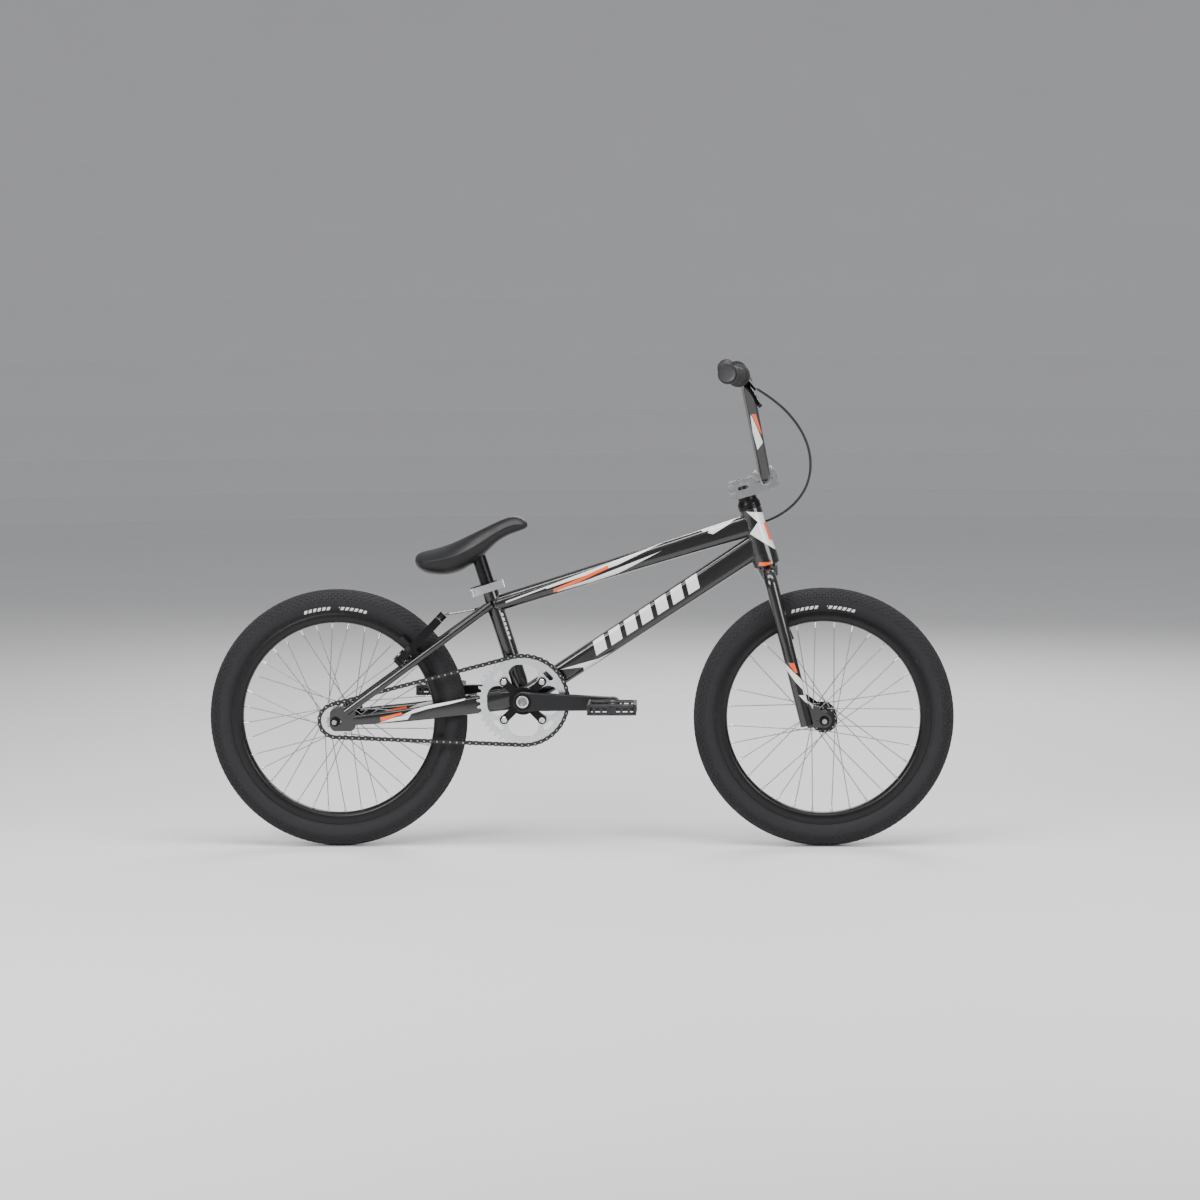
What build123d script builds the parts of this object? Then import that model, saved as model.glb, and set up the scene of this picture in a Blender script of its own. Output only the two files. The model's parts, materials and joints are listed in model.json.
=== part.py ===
from build123d import *

import os
from math import asin, cos, degrees, pi, radians, sin, sqrt, tan

os.makedirs("parts", exist_ok=True)

# A 20-inch BMX race bike.  Millimetres.  +X is forward, +Y is the rider's left, +Z is up.
# The origin is on the ground, midway between the two axles, in the bike's middle plane.

# --- Driving dimensions: layout -------------------------------------------------------------
wheelbase = 947.0
wheel_radius = 253.0
rear_centre = 365.0
bottom_bracket_rise = 39.0
head_angle = 74.0
seat_angle = 72.4
fork_rake = 24.0
fork_length = 317.0
head_tube_length = 113.0

# --- Wheels ---------------------------------------------------------------------------------
tyre_width = 50.0
tyre_wall = 3.0
rim_width = 26.0
rim_outer_radius = 209.5
rim_inner_radius = 187.0
rim_wall = 2.0
rim_well_depth = 8.0
rim_hook_width = 1.8
tube_clearance = 2.0
valve_radius = 4.0
valve_length = 48.0
spoke_radius = 0.9
nipple_radius = 2.0
nipple_length = 10.0
nipple_gap = 0.5
elbow_reach = 1.6
front_flange_radius = 26.0
rear_flange_radius = 30.5
spoke_hole_inset = 3.5
flange_thickness = 2.0
front_spoke_count = 32
rear_spoke_count = 36
spoke_crossings = 3
front_first_spoke = 4.84
rear_first_spoke = 3.15
front_valve_gap = 9
rear_valve_gap = 3
front_flange_offset = 34.0
rear_flange_offset = 28.0
hub_shell_radius = 15.0
front_dropout_spacing = 100.0
rear_dropout_spacing = 110.0
dropout_thickness = 6.0
axle_radius = 4.75
axle_nut_radius = 8.7
axle_nut_height = 8.0
axle_washer_radius = 9.5
axle_washer_thickness = 1.6
axle_thread_beyond_nut = 4.0
running_clearance = 0.05
end_play = 0.4

# --- Drive ----------------------------------------------------------------------------------
chainring_teeth = 43
cog_teeth = 16
chain_links = 88
chain_line = 46.5
roller_radius = 3.85
roller_play = 0.85
tooth_thickness = 2.8
chain_inner_width = 3.6
chain_plate_thickness = 1.9
chain_plate_height = 8.6
crank_length = 175.0
crank_angle = -1.4
bolt_circle_radius = 52.0
chainring_bolt_radius = 4.0
chainring_bolt_head_radius = 6.0
chainring_bolt_head_height = 1.6
spindle_radius = 12.0
spindle_wall = 3.0
shell_radius = 21.0
shell_width = 73.0
bearing_cup_width = 8.0
bearing_cup_radius = 22.0
crank_inner_face = 55.0
crank_thickness = 16.0
crank_boss_radius = 19.0
crank_tip_radius = 13.5
pedal_axle_radius = 4.5
pedal_width = 90.0
pedal_length = 94.0
pedal_height = 19.0
pedal_gap = 6.0
pedal_wall = 6.0

# --- Frame tubes ----------------------------------------------------------------------------
head_top_radius = 22.0
head_bottom_radius = 26.5
steerer_radius = 14.3
steerer_wall = 2.5
cup_radius = 17.0
seat_tube_radius = 15.9
seatpost_radius = 13.6
seat_tube_length = 234.0
top_tube_rear_size = 32.0
top_tube_front_height = 43.0
top_tube_front_width = 38.0
top_tube_rear_height = 191.0
top_tube_head_drop = 30.0
down_tube_height_rear = 40.0
down_tube_height_front = 46.0
down_tube_width = 40.0
down_tube_head_drop = 69.0
tube_wall = 2.0
seat_stay_radius = 8.0
stay_wall = 1.5
seat_stay_angle = 36.0
stay_spread_top = 24.0
stay_spread_bottom = 60.0
chainstay_height_rear = 18.0
chainstay_height_front = 35.0
chainstay_width = 14.0

# --- Seat -----------------------------------------------------------------------------------
seatpost_length = 205.0
seatpost_insertion = 125.0
seatpost_wall = 2.6
clamp_height = 17.0
clamp_wall = 3.4
saddle_width = 124.0

# --- Steering -------------------------------------------------------------------------------
bar_radius = 11.1
bar_wall = 1.8
crossbar_radius = 7.0
bar_width = 737.0
bar_rise = 200.0
bar_lower_bend = 44.0
bar_upper_bend = 152.0
bar_backsweep = 9.2
bar_upsweep = 2.4
bar_lean = 11.0
grip_length = 130.0
grip_radius = 16.5
stem_width = 48.0
stem_reach = 44.0
stem_bottom = 455.0
stem_height = 35.0
fork_leg_radius = 12.5
fork_leg_wall = 2.0
fork_leg_spread_top = 46.0
fork_leg_spread_bottom = 56.0
fork_leg_setback = 11.0

# --- Brake ----------------------------------------------------------------------------------
brake_arm_angle = 46.0
brake_arm_length = 107.0
brake_arm_width = 16.0
brake_arm_thickness = 11.0
brake_boss_radius = 4.0
brake_boss_distance = 146.0
pad_gap = 2.1
pad_thickness = 10.0
pad_height = 8.0
pad_length = 52.0
pad_radius = 201.5
pad_bearing = 44.5
cable_radius = 2.5
lever_reach = 33.0
lever_offset = 222.0
lever_drop_angle = 47.0
lever_pin_radius = 2.5

# --- Points and planes worked out from the sizes ---------------------------------------------
chain_pitch = 12.7
rear_axle_point = Vector(-wheelbase / 2, 0, wheel_radius)
front_axle_point = Vector(wheelbase / 2, 0, wheel_radius)
bottom_bracket_point = rear_axle_point + Vector(rear_centre, 0, bottom_bracket_rise)
steer_up = Vector(-cos(radians(head_angle)), 0, sin(radians(head_angle)))
steer_forward = Vector(sin(radians(head_angle)), 0, cos(radians(head_angle)))
steer_foot = front_axle_point - steer_forward * fork_rake
seat_up = Vector(-cos(radians(seat_angle)), 0, sin(radians(seat_angle)))
seat_forward = Vector(sin(radians(seat_angle)), 0, cos(radians(seat_angle)))
left = Vector(0, 1, 0)
sides = (-1, 1)
head_top = fork_length + head_tube_length
steer_axis = Axis(steer_foot, steer_up)
steer_section = Plane(origin=steer_foot, x_dir=steer_forward, z_dir=-left)


def on_steerer(height, forward=0.0, across=0.0):
    """A point given by its height along the steering axis, its distance ahead of it and its side."""
    return steer_foot + steer_up * height + steer_forward * forward + left * across


def on_seat_tube(height, forward=0.0, across=0.0):
    """A point given by its height along the seat tube's axis, its distance ahead of it and its side."""
    return bottom_bracket_point + seat_up * height + seat_forward * forward + left * across


def steerer_plane(height, forward=0.0, across=0.0):
    """A plane square to the steering axis, with X forward and Y to the left."""
    return Plane(origin=on_steerer(height, forward, across), x_dir=steer_forward, z_dir=steer_up)


def seat_plane(height, forward=0.0, across=0.0):
    """A plane square to the seat tube, with X forward and Y to the left."""
    return Plane(origin=on_seat_tube(height, forward, across), x_dir=seat_forward, z_dir=seat_up)


def side_plane(centre, across=0.0):
    """A plane parallel to the bike's middle plane, with X forward and Y up, facing the right side."""
    return Plane(origin=(centre.X, across, centre.Z), x_dir=(1, 0, 0), z_dir=(0, -1, 0))


def wheel_section(centre):
    """A radial plane of a wheel: X runs along the axle to the left and Y runs outwards."""
    return Plane(origin=centre, x_dir=(0, 1, 0), z_dir=(1, 0, 0))


def polar(centre, radius, angle, across=0.0):
    """A point at a radius and an angle in degrees round a cross axis, positive from X to Z."""
    offset = Vector(cos(radians(angle)), 0, sin(radians(angle))) * radius
    return Vector(centre.X, across, centre.Z) + offset


def rod(start, end, radius, end_radius=None):
    """A round bar between two points, tapered where the end radius differs."""
    span = end - start
    with BuildPart() as bar:
        with BuildSketch(Plane(origin=start, z_dir=span)):
            Circle(radius)
        if end_radius is None:
            extrude(amount=span.length)
        else:
            with BuildSketch(Plane(origin=end, z_dir=span)):
                Circle(end_radius)
            loft()
    return bar.part


def ring(start, end, outer, inner):
    """A round sleeve between two points."""
    span = end - start
    with BuildPart() as sleeve:
        with BuildSketch(Plane(origin=start, z_dir=span)):
            Circle(outer)
            Circle(inner, mode=Mode.SUBTRACT)
        extrude(amount=span.length)
    return sleeve.part


def hexagon(start, end, radius, bore=0.0):
    """A hexagonal bar between two points, such as a nut or a bolt head."""
    span = end - start
    with BuildPart() as nut:
        with BuildSketch(Plane(origin=start, z_dir=span)):
            RegularPolygon(radius, 6)
            if bore > 0:
                Circle(bore, mode=Mode.SUBTRACT)
        extrude(amount=span.length)
    return nut.part


def bent_tube(points, radii, radius, bore=0.0):
    """A tube along straight runs joined by tangent arcs."""
    with BuildPart() as tube:
        with BuildLine() as route:
            FilletPolyline(*points, radius=radii)
        with BuildSketch(Plane(origin=route.wire() @ 0, z_dir=route.wire() % 0)):
            Circle(radius)
            if bore > 0:
                Circle(bore, mode=Mode.SUBTRACT)
        sweep(path=route.wire())
    return tube.part


def cord_radii(points):
    """Arc radii for a cord's route: 0.45 of the shorter run over the tangent of half the turn."""
    radii = []
    for before, here, after in zip(points, points[1:], points[2:]):
        run_in = here - before
        run_out = after - here
        turn = run_in.get_angle(run_out)
        radii.append(0.45 * min(run_in.length, run_out.length) / tan(radians(turn / 2)))
    return radii


def save(builder, name):
    """Label a finished piece and write it."""
    builder.part.label = name
    export_step(builder.part, f"parts/{name}.step")


# === Wheels =================================================================================
rim_half = rim_width / 2
casing_radius = tyre_width / 2
casing_centre = wheel_radius - casing_radius
well_radius = rim_outer_radius - rim_well_depth
tube_section_radius = (wheel_radius - tyre_wall - rim_outer_radius - tube_clearance) / 2
tube_centre = rim_outer_radius + tube_clearance + tube_section_radius - running_clearance
valve_foot = tube_centre - tube_section_radius - valve_length


def make_tyre(centre):
    """The tyre: a horseshoe section whose feet stand on the rim's edges."""
    with BuildPart() as tyre:
        with BuildSketch(wheel_section(centre)):
            with Locations((0, casing_centre)):
                Circle(casing_radius)
                Circle(casing_radius - tyre_wall, mode=Mode.SUBTRACT)
            with Locations((0, rim_outer_radius - casing_radius)):
                Rectangle(tyre_width, 2 * casing_radius, mode=Mode.SUBTRACT)
        revolve(axis=Axis(centre, left))
    return tyre


def make_inner_tube(centre, valve_angle):
    """The inner tube, with its valve stem standing inwards through the rim."""
    with BuildPart() as inner_tube:
        with BuildSketch(wheel_section(centre)):
            with Locations((0, tube_centre)):
                Circle(tube_section_radius)
                Circle(tube_section_radius - 1.2, mode=Mode.SUBTRACT)
        revolve(axis=Axis(centre, left))
        stem_root = polar(centre, tube_centre - tube_section_radius + 0.6, valve_angle)
        add(rod(stem_root, polar(centre, valve_foot, valve_angle), valve_radius))
    return inner_tube


def make_rim(centre, valve_angle):
    """The double-wall rim, with a tyre well, hooked edges and a valve hole."""
    with BuildPart() as rim:
        with BuildSketch(wheel_section(centre)):
            with BuildLine():
                Polyline(
                    (-rim_half, rim_outer_radius),
                    (-rim_half + rim_hook_width, rim_outer_radius),
                    (-rim_half + rim_hook_width, well_radius),
                    (rim_half - rim_hook_width, well_radius),
                    (rim_half - rim_hook_width, rim_outer_radius),
                    (rim_half, rim_outer_radius),
                    (rim_half, rim_inner_radius + 6),
                    (rim_half - 6, rim_inner_radius),
                    (-rim_half + 6, rim_inner_radius),
                    (-rim_half, rim_inner_radius + 6),
                    close=True,
                )
            make_face()
            cavity_height = well_radius - rim_inner_radius - 2 * rim_wall
            with Locations((0, (well_radius + rim_inner_radius) / 2)):
                Rectangle(rim_width - 6 * rim_wall, cavity_height, mode=Mode.SUBTRACT)
        revolve(axis=Axis(centre, left))
        bore_start = polar(centre, valve_foot, valve_angle)
        bore_end = polar(centre, rim_outer_radius, valve_angle)
        add(rod(bore_start, bore_end, valve_radius + 0.3), mode=Mode.SUBTRACT)
    return rim


def spoke_list(count, first_angle, flange_offset, crossings):
    """Each spoke's side, lean, rim angle and hub angle: sides alternate and so do the leans."""
    wrap = crossings * 720.0 / count
    listed = []
    for index in range(count):
        side = -1 if index % 2 == 0 else 1
        lean = 1 if (index // 2) % 2 == 0 else -1
        rim_angle = first_angle + index * 360.0 / count
        listed.append((side, lean, rim_angle, rim_angle + lean * wrap))
    return listed


def make_spokes(centre, count, first_angle, flange_radius, flange_offset, crossings):
    """Crossed spokes: each has a head and an elbow in its flange and a nipple at the rim."""
    hole_circle = flange_radius - spoke_hole_inset
    flange_half = flange_thickness / 2
    inside = flange_half + spoke_radius + 0.05
    outside = inside + elbow_reach
    with BuildPart() as spokes:
        for side, lean, rim_angle, hub_angle in spoke_list(count, first_angle, flange_offset, crossings):
            start = flange_offset + (outside if lean > 0 else -inside)
            head = flange_offset - lean * (flange_half + 0.05)
            hub_end = polar(centre, hole_circle, hub_angle, side * start)
            head_point = polar(centre, hole_circle, hub_angle, side * head)
            rim_end = polar(centre, rim_inner_radius - nipple_gap, rim_angle, side * 3.0)
            run = rim_end - hub_end
            nipple_end = rim_end - run * (nipple_length / run.length)
            add(rod(hub_end, nipple_end, spoke_radius))
            add(rod(nipple_end, rim_end, nipple_radius))
            add(rod(hub_end, head_point, spoke_radius))
            add(rod(head_point, head_point - left * side * lean * spoke_radius, 2 * spoke_radius))
            with Locations(Pos(hub_end)):
                Sphere(spoke_radius)
    return spokes


def make_hub(centre, count, first_angle, flange_radius, flange_offset, spacing, extra=0.0):
    """A hub shell with two spoke flanges, running on the axle between the dropouts."""
    end = spacing / 2 - end_play
    with BuildPart() as hub:
        with BuildSketch(wheel_section(centre)):
            bore = axle_radius + running_clearance
            with BuildLine():
                Polyline(
                    (-end + extra, bore),
                    (-end + extra, axle_washer_radius - 0.5),
                    (-flange_offset - 6, 13),
                    (-flange_offset - flange_thickness / 2, 19),
                    (-flange_offset - flange_thickness / 2, flange_radius),
                    (-flange_offset + flange_thickness / 2, flange_radius),
                    (-flange_offset + flange_thickness / 2, 19),
                    (-flange_offset + 8, hub_shell_radius),
                    (flange_offset - 8, hub_shell_radius),
                    (flange_offset - flange_thickness / 2, 19),
                    (flange_offset - flange_thickness / 2, flange_radius),
                    (flange_offset + flange_thickness / 2, flange_radius),
                    (flange_offset + flange_thickness / 2, 19),
                    (flange_offset + 6, 13),
                    (end, axle_washer_radius - 0.5),
                    (end, bore),
                    close=True,
                )
            make_face()
        revolve(axis=Axis(centre, left))
        for side, _, _, hub_angle in spoke_list(count, first_angle, flange_offset, spoke_crossings):
            hole = polar(centre, flange_radius - spoke_hole_inset, hub_angle, side * flange_offset)
            through = left * flange_thickness
            add(rod(hole - through, hole + through, spoke_radius + 0.02), mode=Mode.SUBTRACT)
    return hub


freewheel_width = rear_dropout_spacing / 2 - end_play - (rear_flange_offset + 7)
for name, centre, count, first, gap, flange, offset, spacing, extra in (
    ("front", front_axle_point, front_spoke_count, front_first_spoke, front_valve_gap,
     front_flange_radius, front_flange_offset, front_dropout_spacing, 0.0),
    ("rear", rear_axle_point, rear_spoke_count, rear_first_spoke, rear_valve_gap,
     rear_flange_radius, rear_flange_offset, rear_dropout_spacing, freewheel_width),
):
    # The valve stands midway between two spokes.
    valve_angle = first + 360.0 / count * (gap + 0.5)
    save(make_tyre(centre), f"{name}_tyre")
    save(make_inner_tube(centre, valve_angle), f"{name}_inner_tube")
    save(make_rim(centre, valve_angle), f"{name}_rim")
    save(make_spokes(centre, count, first, flange, offset, spoke_crossings), f"{name}_spokes")
    save(make_hub(centre, count, first, flange, offset, spacing, extra), f"{name}_hub")


def make_axle(centre, spacing):
    """A threaded axle that reaches past both dropouts and their nuts."""
    reach = spacing / 2 + dropout_thickness + axle_washer_thickness + axle_nut_height
    reach += axle_thread_beyond_nut
    with BuildPart() as axle:
        across = Vector(0, reach, 0)
        add(rod(centre - across, centre + across, axle_radius))
    return axle


def make_axle_nuts(centre, spacing):
    """A washer and a hexagon nut outside each dropout."""
    face = spacing / 2 + dropout_thickness
    with BuildPart() as nuts:
        for side in sides:
            washer_start = centre + left * side * face
            washer_end = washer_start + left * side * axle_washer_thickness
            nut_end = washer_end + left * side * axle_nut_height
            add(ring(washer_start, washer_end, axle_washer_radius, axle_radius))
            add(hexagon(washer_end, nut_end, axle_nut_radius, axle_radius))
    return nuts


for name, centre, spacing in (
    ("front", front_axle_point, front_dropout_spacing),
    ("rear", rear_axle_point, rear_dropout_spacing),
):
    save(make_axle(centre, spacing), f"{name}_axle")
    save(make_axle_nuts(centre, spacing), f"{name}_axle_nuts")


# === Drive ==================================================================================
def pitch_radius(teeth):
    """The radius of a sprocket's pitch circle."""
    return chain_pitch / (2 * sin(pi / teeth))


ring_radius = pitch_radius(chainring_teeth)
cog_radius = pitch_radius(cog_teeth)
centre_line = bottom_bracket_point - rear_axle_point
centre_distance = centre_line.length
line_tilt = degrees(asin(centre_line.Z / centre_distance))
wrap_tilt = degrees(asin((ring_radius - cog_radius) / centre_distance))
straight_run = sqrt(centre_distance**2 - (ring_radius - cog_radius) ** 2)
ring_wrap = radians(180 + 2 * wrap_tilt) * ring_radius
cog_wrap = radians(180 - 2 * wrap_tilt) * cog_radius
chain_length = 2 * straight_run + ring_wrap + cog_wrap
link_pitch = chain_length / chain_links
top_ring_angle = line_tilt + 90 + wrap_tilt
top_cog_angle = top_ring_angle
bottom_cog_angle = line_tilt - 90 - wrap_tilt


def chain_point(distance):
    """A point on the chain's pitch line, from the top of the ring forwards round to the start."""
    travel = distance % chain_length
    if travel < ring_wrap:
        return polar(bottom_bracket_point, ring_radius, top_ring_angle - degrees(travel / ring_radius))
    travel -= ring_wrap
    lower_start = polar(bottom_bracket_point, ring_radius, bottom_cog_angle)
    lower_end = polar(rear_axle_point, cog_radius, bottom_cog_angle)
    if travel < straight_run:
        return lower_start + (lower_end - lower_start) * (travel / straight_run)
    travel -= straight_run
    if travel < cog_wrap:
        return polar(rear_axle_point, cog_radius, bottom_cog_angle - degrees(travel / cog_radius))
    travel -= cog_wrap
    upper_start = polar(rear_axle_point, cog_radius, top_cog_angle)
    upper_end = polar(bottom_bracket_point, ring_radius, top_ring_angle)
    return upper_start + (upper_end - upper_start) * (travel / straight_run)


def loop_outline(half_height):
    """The chain's outline at a distance outside its pitch line, as tangent arcs and straight runs."""
    big = ring_radius + half_height
    small = cog_radius + half_height
    a = polar(bottom_bracket_point, big, top_ring_angle)
    b = polar(bottom_bracket_point, big, line_tilt)
    c = polar(bottom_bracket_point, big, bottom_cog_angle)
    d = polar(rear_axle_point, small, bottom_cog_angle)
    e = polar(rear_axle_point, small, line_tilt + 180)
    f = polar(rear_axle_point, small, top_cog_angle)
    flat = [(point.X, point.Z) for point in (a, b, c, d, e, f)]
    with BuildLine() as outline:
        ThreePointArc(flat[0], flat[1], flat[2])
        Line(flat[2], flat[3])
        ThreePointArc(flat[3], flat[4], flat[5])
        Line(flat[5], flat[0])
    return outline.wire()


chain_half = chain_inner_width / 2 + chain_plate_thickness
with BuildPart() as chain:
    for side in sides:
        inner_face = -chain_line + side * chain_inner_width / 2
        with BuildSketch(side_plane(Vector(0, 0, 0), inner_face)):
            make_face(loop_outline(chain_plate_height / 2))
            make_face(loop_outline(-chain_plate_height / 2), mode=Mode.SUBTRACT)
        extrude(amount=-side * chain_plate_thickness)
    for link in range(chain_links):
        here = chain_point((link + 0.5) * link_pitch)
        roller_start = Vector(here.X, -chain_line - chain_inner_width / 2, here.Z)
        roller_end = Vector(here.X, -chain_line + chain_inner_width / 2, here.Z)
        add(rod(roller_start, roller_end, roller_radius - roller_play))
save(chain, "chain")


def toothed_disc(centre, teeth, radius, phase, bore):
    """A flat sprocket: tooth gaps are cut where the chain's rollers sit."""
    with BuildPart() as disc:
        with BuildSketch(side_plane(centre, -chain_line + tooth_thickness / 2)):
            Circle(radius + 3.6)
            with PolarLocations(radius + 5.4, teeth, start_angle=phase):
                Circle(roller_radius + 1.9, mode=Mode.SUBTRACT)
            with PolarLocations(radius, teeth, start_angle=phase):
                Circle(roller_radius, mode=Mode.SUBTRACT)
            Circle(bore, mode=Mode.SUBTRACT)
        extrude(amount=tooth_thickness)
    return disc.part


def mid_wrap_travel(wrap_start, wrap):
    """The travel, past the start of a wrap, of the roller nearest to the wrap's middle."""
    link = round((wrap_start + wrap / 2) / link_pitch - 0.5)
    return (link + 0.5) * link_pitch - wrap_start


ring_phase = top_ring_angle - degrees(mid_wrap_travel(0, ring_wrap) / ring_radius)
cog_travel = mid_wrap_travel(ring_wrap + straight_run, cog_wrap)
cog_phase = bottom_cog_angle - degrees(cog_travel / cog_radius)

ring_bore = bolt_circle_radius - 12.0
window_circle = 49.0
window_length = 58.0
window_width = 42.0
slot_circle = 68.5
slot_length = 24.0
slot_width = 9.0
with BuildPart() as chainring:
    add(toothed_disc(bottom_bracket_point, chainring_teeth, ring_radius, ring_phase, ring_bore))
    ring_plane = side_plane(bottom_bracket_point, -chain_line + tooth_thickness / 2)
    with BuildSketch(ring_plane):
        with PolarLocations(window_circle, 4):
            SlotOverall(window_length, window_width, rotation=90)
        with PolarLocations(slot_circle, 4, start_angle=45):
            SlotOverall(slot_length, slot_width, rotation=90)
        with PolarLocations(bolt_circle_radius, 4, start_angle=45):
            Circle(chainring_bolt_radius)
    extrude(amount=tooth_thickness, mode=Mode.SUBTRACT)
save(chainring, "chainring")

cog_body_radius = 22.0
cog_inner_end = rear_flange_offset + 7.5
with BuildPart() as freewheel_cog:
    cog_bore = axle_radius + running_clearance
    add(toothed_disc(rear_axle_point, cog_teeth, cog_radius, cog_phase, cog_bore))
    with BuildSketch(side_plane(rear_axle_point, -cog_inner_end)):
        Circle(cog_body_radius)
        Circle(cog_bore, mode=Mode.SUBTRACT)
    extrude(amount=rear_dropout_spacing / 2 - end_play - cog_inner_end)
save(freewheel_cog, "freewheel_cog")

# Crank: a hollow spindle, a right arm with a four-arm spider, and a left arm.
crank_direction = Vector(cos(radians(crank_angle)), 0, sin(radians(crank_angle)))
spider_face = -chain_line - tooth_thickness / 2
spindle_reach = crank_inner_face + crank_thickness
with BuildPart() as crank_spindle:
    spindle_end = left * spindle_reach
    add(ring(bottom_bracket_point - spindle_end, bottom_bracket_point + spindle_end, spindle_radius,
             spindle_radius - spindle_wall))
save(crank_spindle, "crank_spindle")


def crank_outline(direction):
    """The arm's outline: a wide round boss, a straight taper and a small round pedal end."""
    pedal_end = direction * crank_length
    with BuildSketch(Plane.XY) as outline:
        with Locations((0, 0)):
            Circle(crank_boss_radius)
        with Locations((pedal_end, 0)):
            Circle(crank_tip_radius)
        boss_half = crank_boss_radius - 0.8
        tip_half = crank_tip_radius - 0.7
        with BuildLine():
            Polyline((0, -boss_half), (0, boss_half), (pedal_end, tip_half), (pedal_end, -tip_half),
                     close=True)
        make_face()
        Circle(spindle_radius, mode=Mode.SUBTRACT)
        with Locations((pedal_end, 0)):
            Circle(pedal_axle_radius, mode=Mode.SUBTRACT)
    return outline.sketch


def make_crank_arm(side, direction):
    """A forged arm on one end of the spindle."""
    inner_face = bottom_bracket_point + left * side * crank_inner_face
    arm_plane = Plane(origin=inner_face, x_dir=crank_direction, z_dir=left * side)
    with BuildPart() as arm:
        with BuildSketch(arm_plane):
            add(crank_outline(direction))
        extrude(amount=crank_thickness)
        outer_edges = arm.faces().sort_by(Axis.Y)[-1 if side > 0 else 0].outer_wire().edges()
        fillet(outer_edges, 3.0)
    return arm


right_arm = make_crank_arm(-1, 1)
with BuildPart() as crank_arm_right:
    add(right_arm.part)
    spider_plane = side_plane(bottom_bracket_point, spider_face)
    with BuildSketch(spider_plane):
        Circle(27.0)
        with PolarLocations(bolt_circle_radius / 2, 4, start_angle=45):
            Rectangle(bolt_circle_radius, 15.0)
        with PolarLocations(bolt_circle_radius, 4, start_angle=45):
            Circle(8.5)
        with PolarLocations(bolt_circle_radius, 4, start_angle=45):
            Circle(chainring_bolt_radius, mode=Mode.SUBTRACT)
        Circle(spindle_radius, mode=Mode.SUBTRACT)
    extrude(amount=crank_inner_face + spider_face)
save(crank_arm_right, "crank_arm_right")
save(make_crank_arm(1, -1), "crank_arm_left")

with BuildPart() as chainring_bolts:
    for quarter in range(4):
        bolt_angle = 45 + 90 * quarter
        head = polar(bottom_bracket_point, bolt_circle_radius, bolt_angle, -crank_inner_face)
        tail = polar(bottom_bracket_point, bolt_circle_radius, bolt_angle,
                     -chain_line + tooth_thickness / 2)
        head_depth = left * chainring_bolt_head_height
        add(rod(head, tail, chainring_bolt_radius))
        add(rod(tail, tail + head_depth, chainring_bolt_head_radius))
        add(rod(head - head_depth, head, chainring_bolt_head_radius))
save(chainring_bolts, "chainring_bolts")

pedal_inner = crank_inner_face + crank_thickness + pedal_gap
pedal_points = {
    -1: bottom_bracket_point + crank_direction * crank_length,
    1: bottom_bracket_point - crank_direction * crank_length,
}
with BuildPart() as pedal_axles:
    for side in sides:
        pedal_point = pedal_points[side]
        inner = pedal_point + left * side * crank_inner_face
        collar = pedal_point + left * side * (crank_inner_face + crank_thickness)
        outer = pedal_point + left * side * (pedal_inner + pedal_width - pedal_wall)
        add(rod(inner, outer, pedal_axle_radius))
        add(rod(collar, collar + left * side * (pedal_gap - end_play), 7.5))
save(pedal_axles, "pedal_axles")


def make_pedal(side):
    """A cage pedal: a centre barrel on the axle between two side rails, joined by end bars."""
    pedal_point = pedal_points[side]
    inner = pedal_point + left * side * pedal_inner
    outer = inner + left * side * pedal_width
    top = Plane(origin=pedal_point + left * side * (pedal_inner + pedal_width / 2),
                x_dir=(1, 0, 0), z_dir=(0, 0, 1))
    with BuildPart() as pedal:
        with BuildSketch(top.offset(-pedal_height / 2)):
            RectangleRounded(pedal_length, pedal_width, 8)
            for end in sides:
                with Locations((end * (pedal_length / 4 + 3), 0)):
                    RectangleRounded(pedal_length / 2 - 17, pedal_width - 4 * pedal_wall, 4,
                                     mode=Mode.SUBTRACT)
        extrude(amount=pedal_height)
        add(rod(inner, outer, 9.0))
        cavity_end = outer - left * side * (pedal_wall - 0.5)
        add(rod(inner, cavity_end, pedal_axle_radius + running_clearance), mode=Mode.SUBTRACT)
        pin_rows = (-pedal_length / 2 + 4, pedal_length / 2 - 4)
        for row in pin_rows:
            for step in (-1.5, -0.5, 0.5, 1.5):
                pin_point = top.origin + Vector(row, step * pedal_width / 5, 0)
                rise = Vector(0, 0, pedal_height / 2 + 2.5)
                add(rod(pin_point - rise, pin_point + rise, 1.7))
    return pedal


save(make_pedal(-1), "pedal_right")
save(make_pedal(1), "pedal_left")

# === Frame ==================================================================================
shell_half = shell_width / 2
with BuildPart() as bottom_bracket_shell:
    add(ring(bottom_bracket_point - left * shell_half, bottom_bracket_point + left * shell_half,
             shell_radius, shell_radius - 3.0))
save(bottom_bracket_shell, "bottom_bracket_shell")
shell_solid = rod(bottom_bracket_point - left * shell_half, bottom_bracket_point + left * shell_half,
                  shell_radius)

with BuildPart() as bottom_bracket_bearings:
    for side in sides:
        face = bottom_bracket_point + left * side * shell_half
        bore = spindle_radius + running_clearance
        add(ring(face, face + left * side * bearing_cup_width, bearing_cup_radius, bore))
        add(ring(face - left * side * 12, face, shell_radius - 3.0, bore))
save(bottom_bracket_bearings, "bottom_bracket_bearings")

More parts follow.
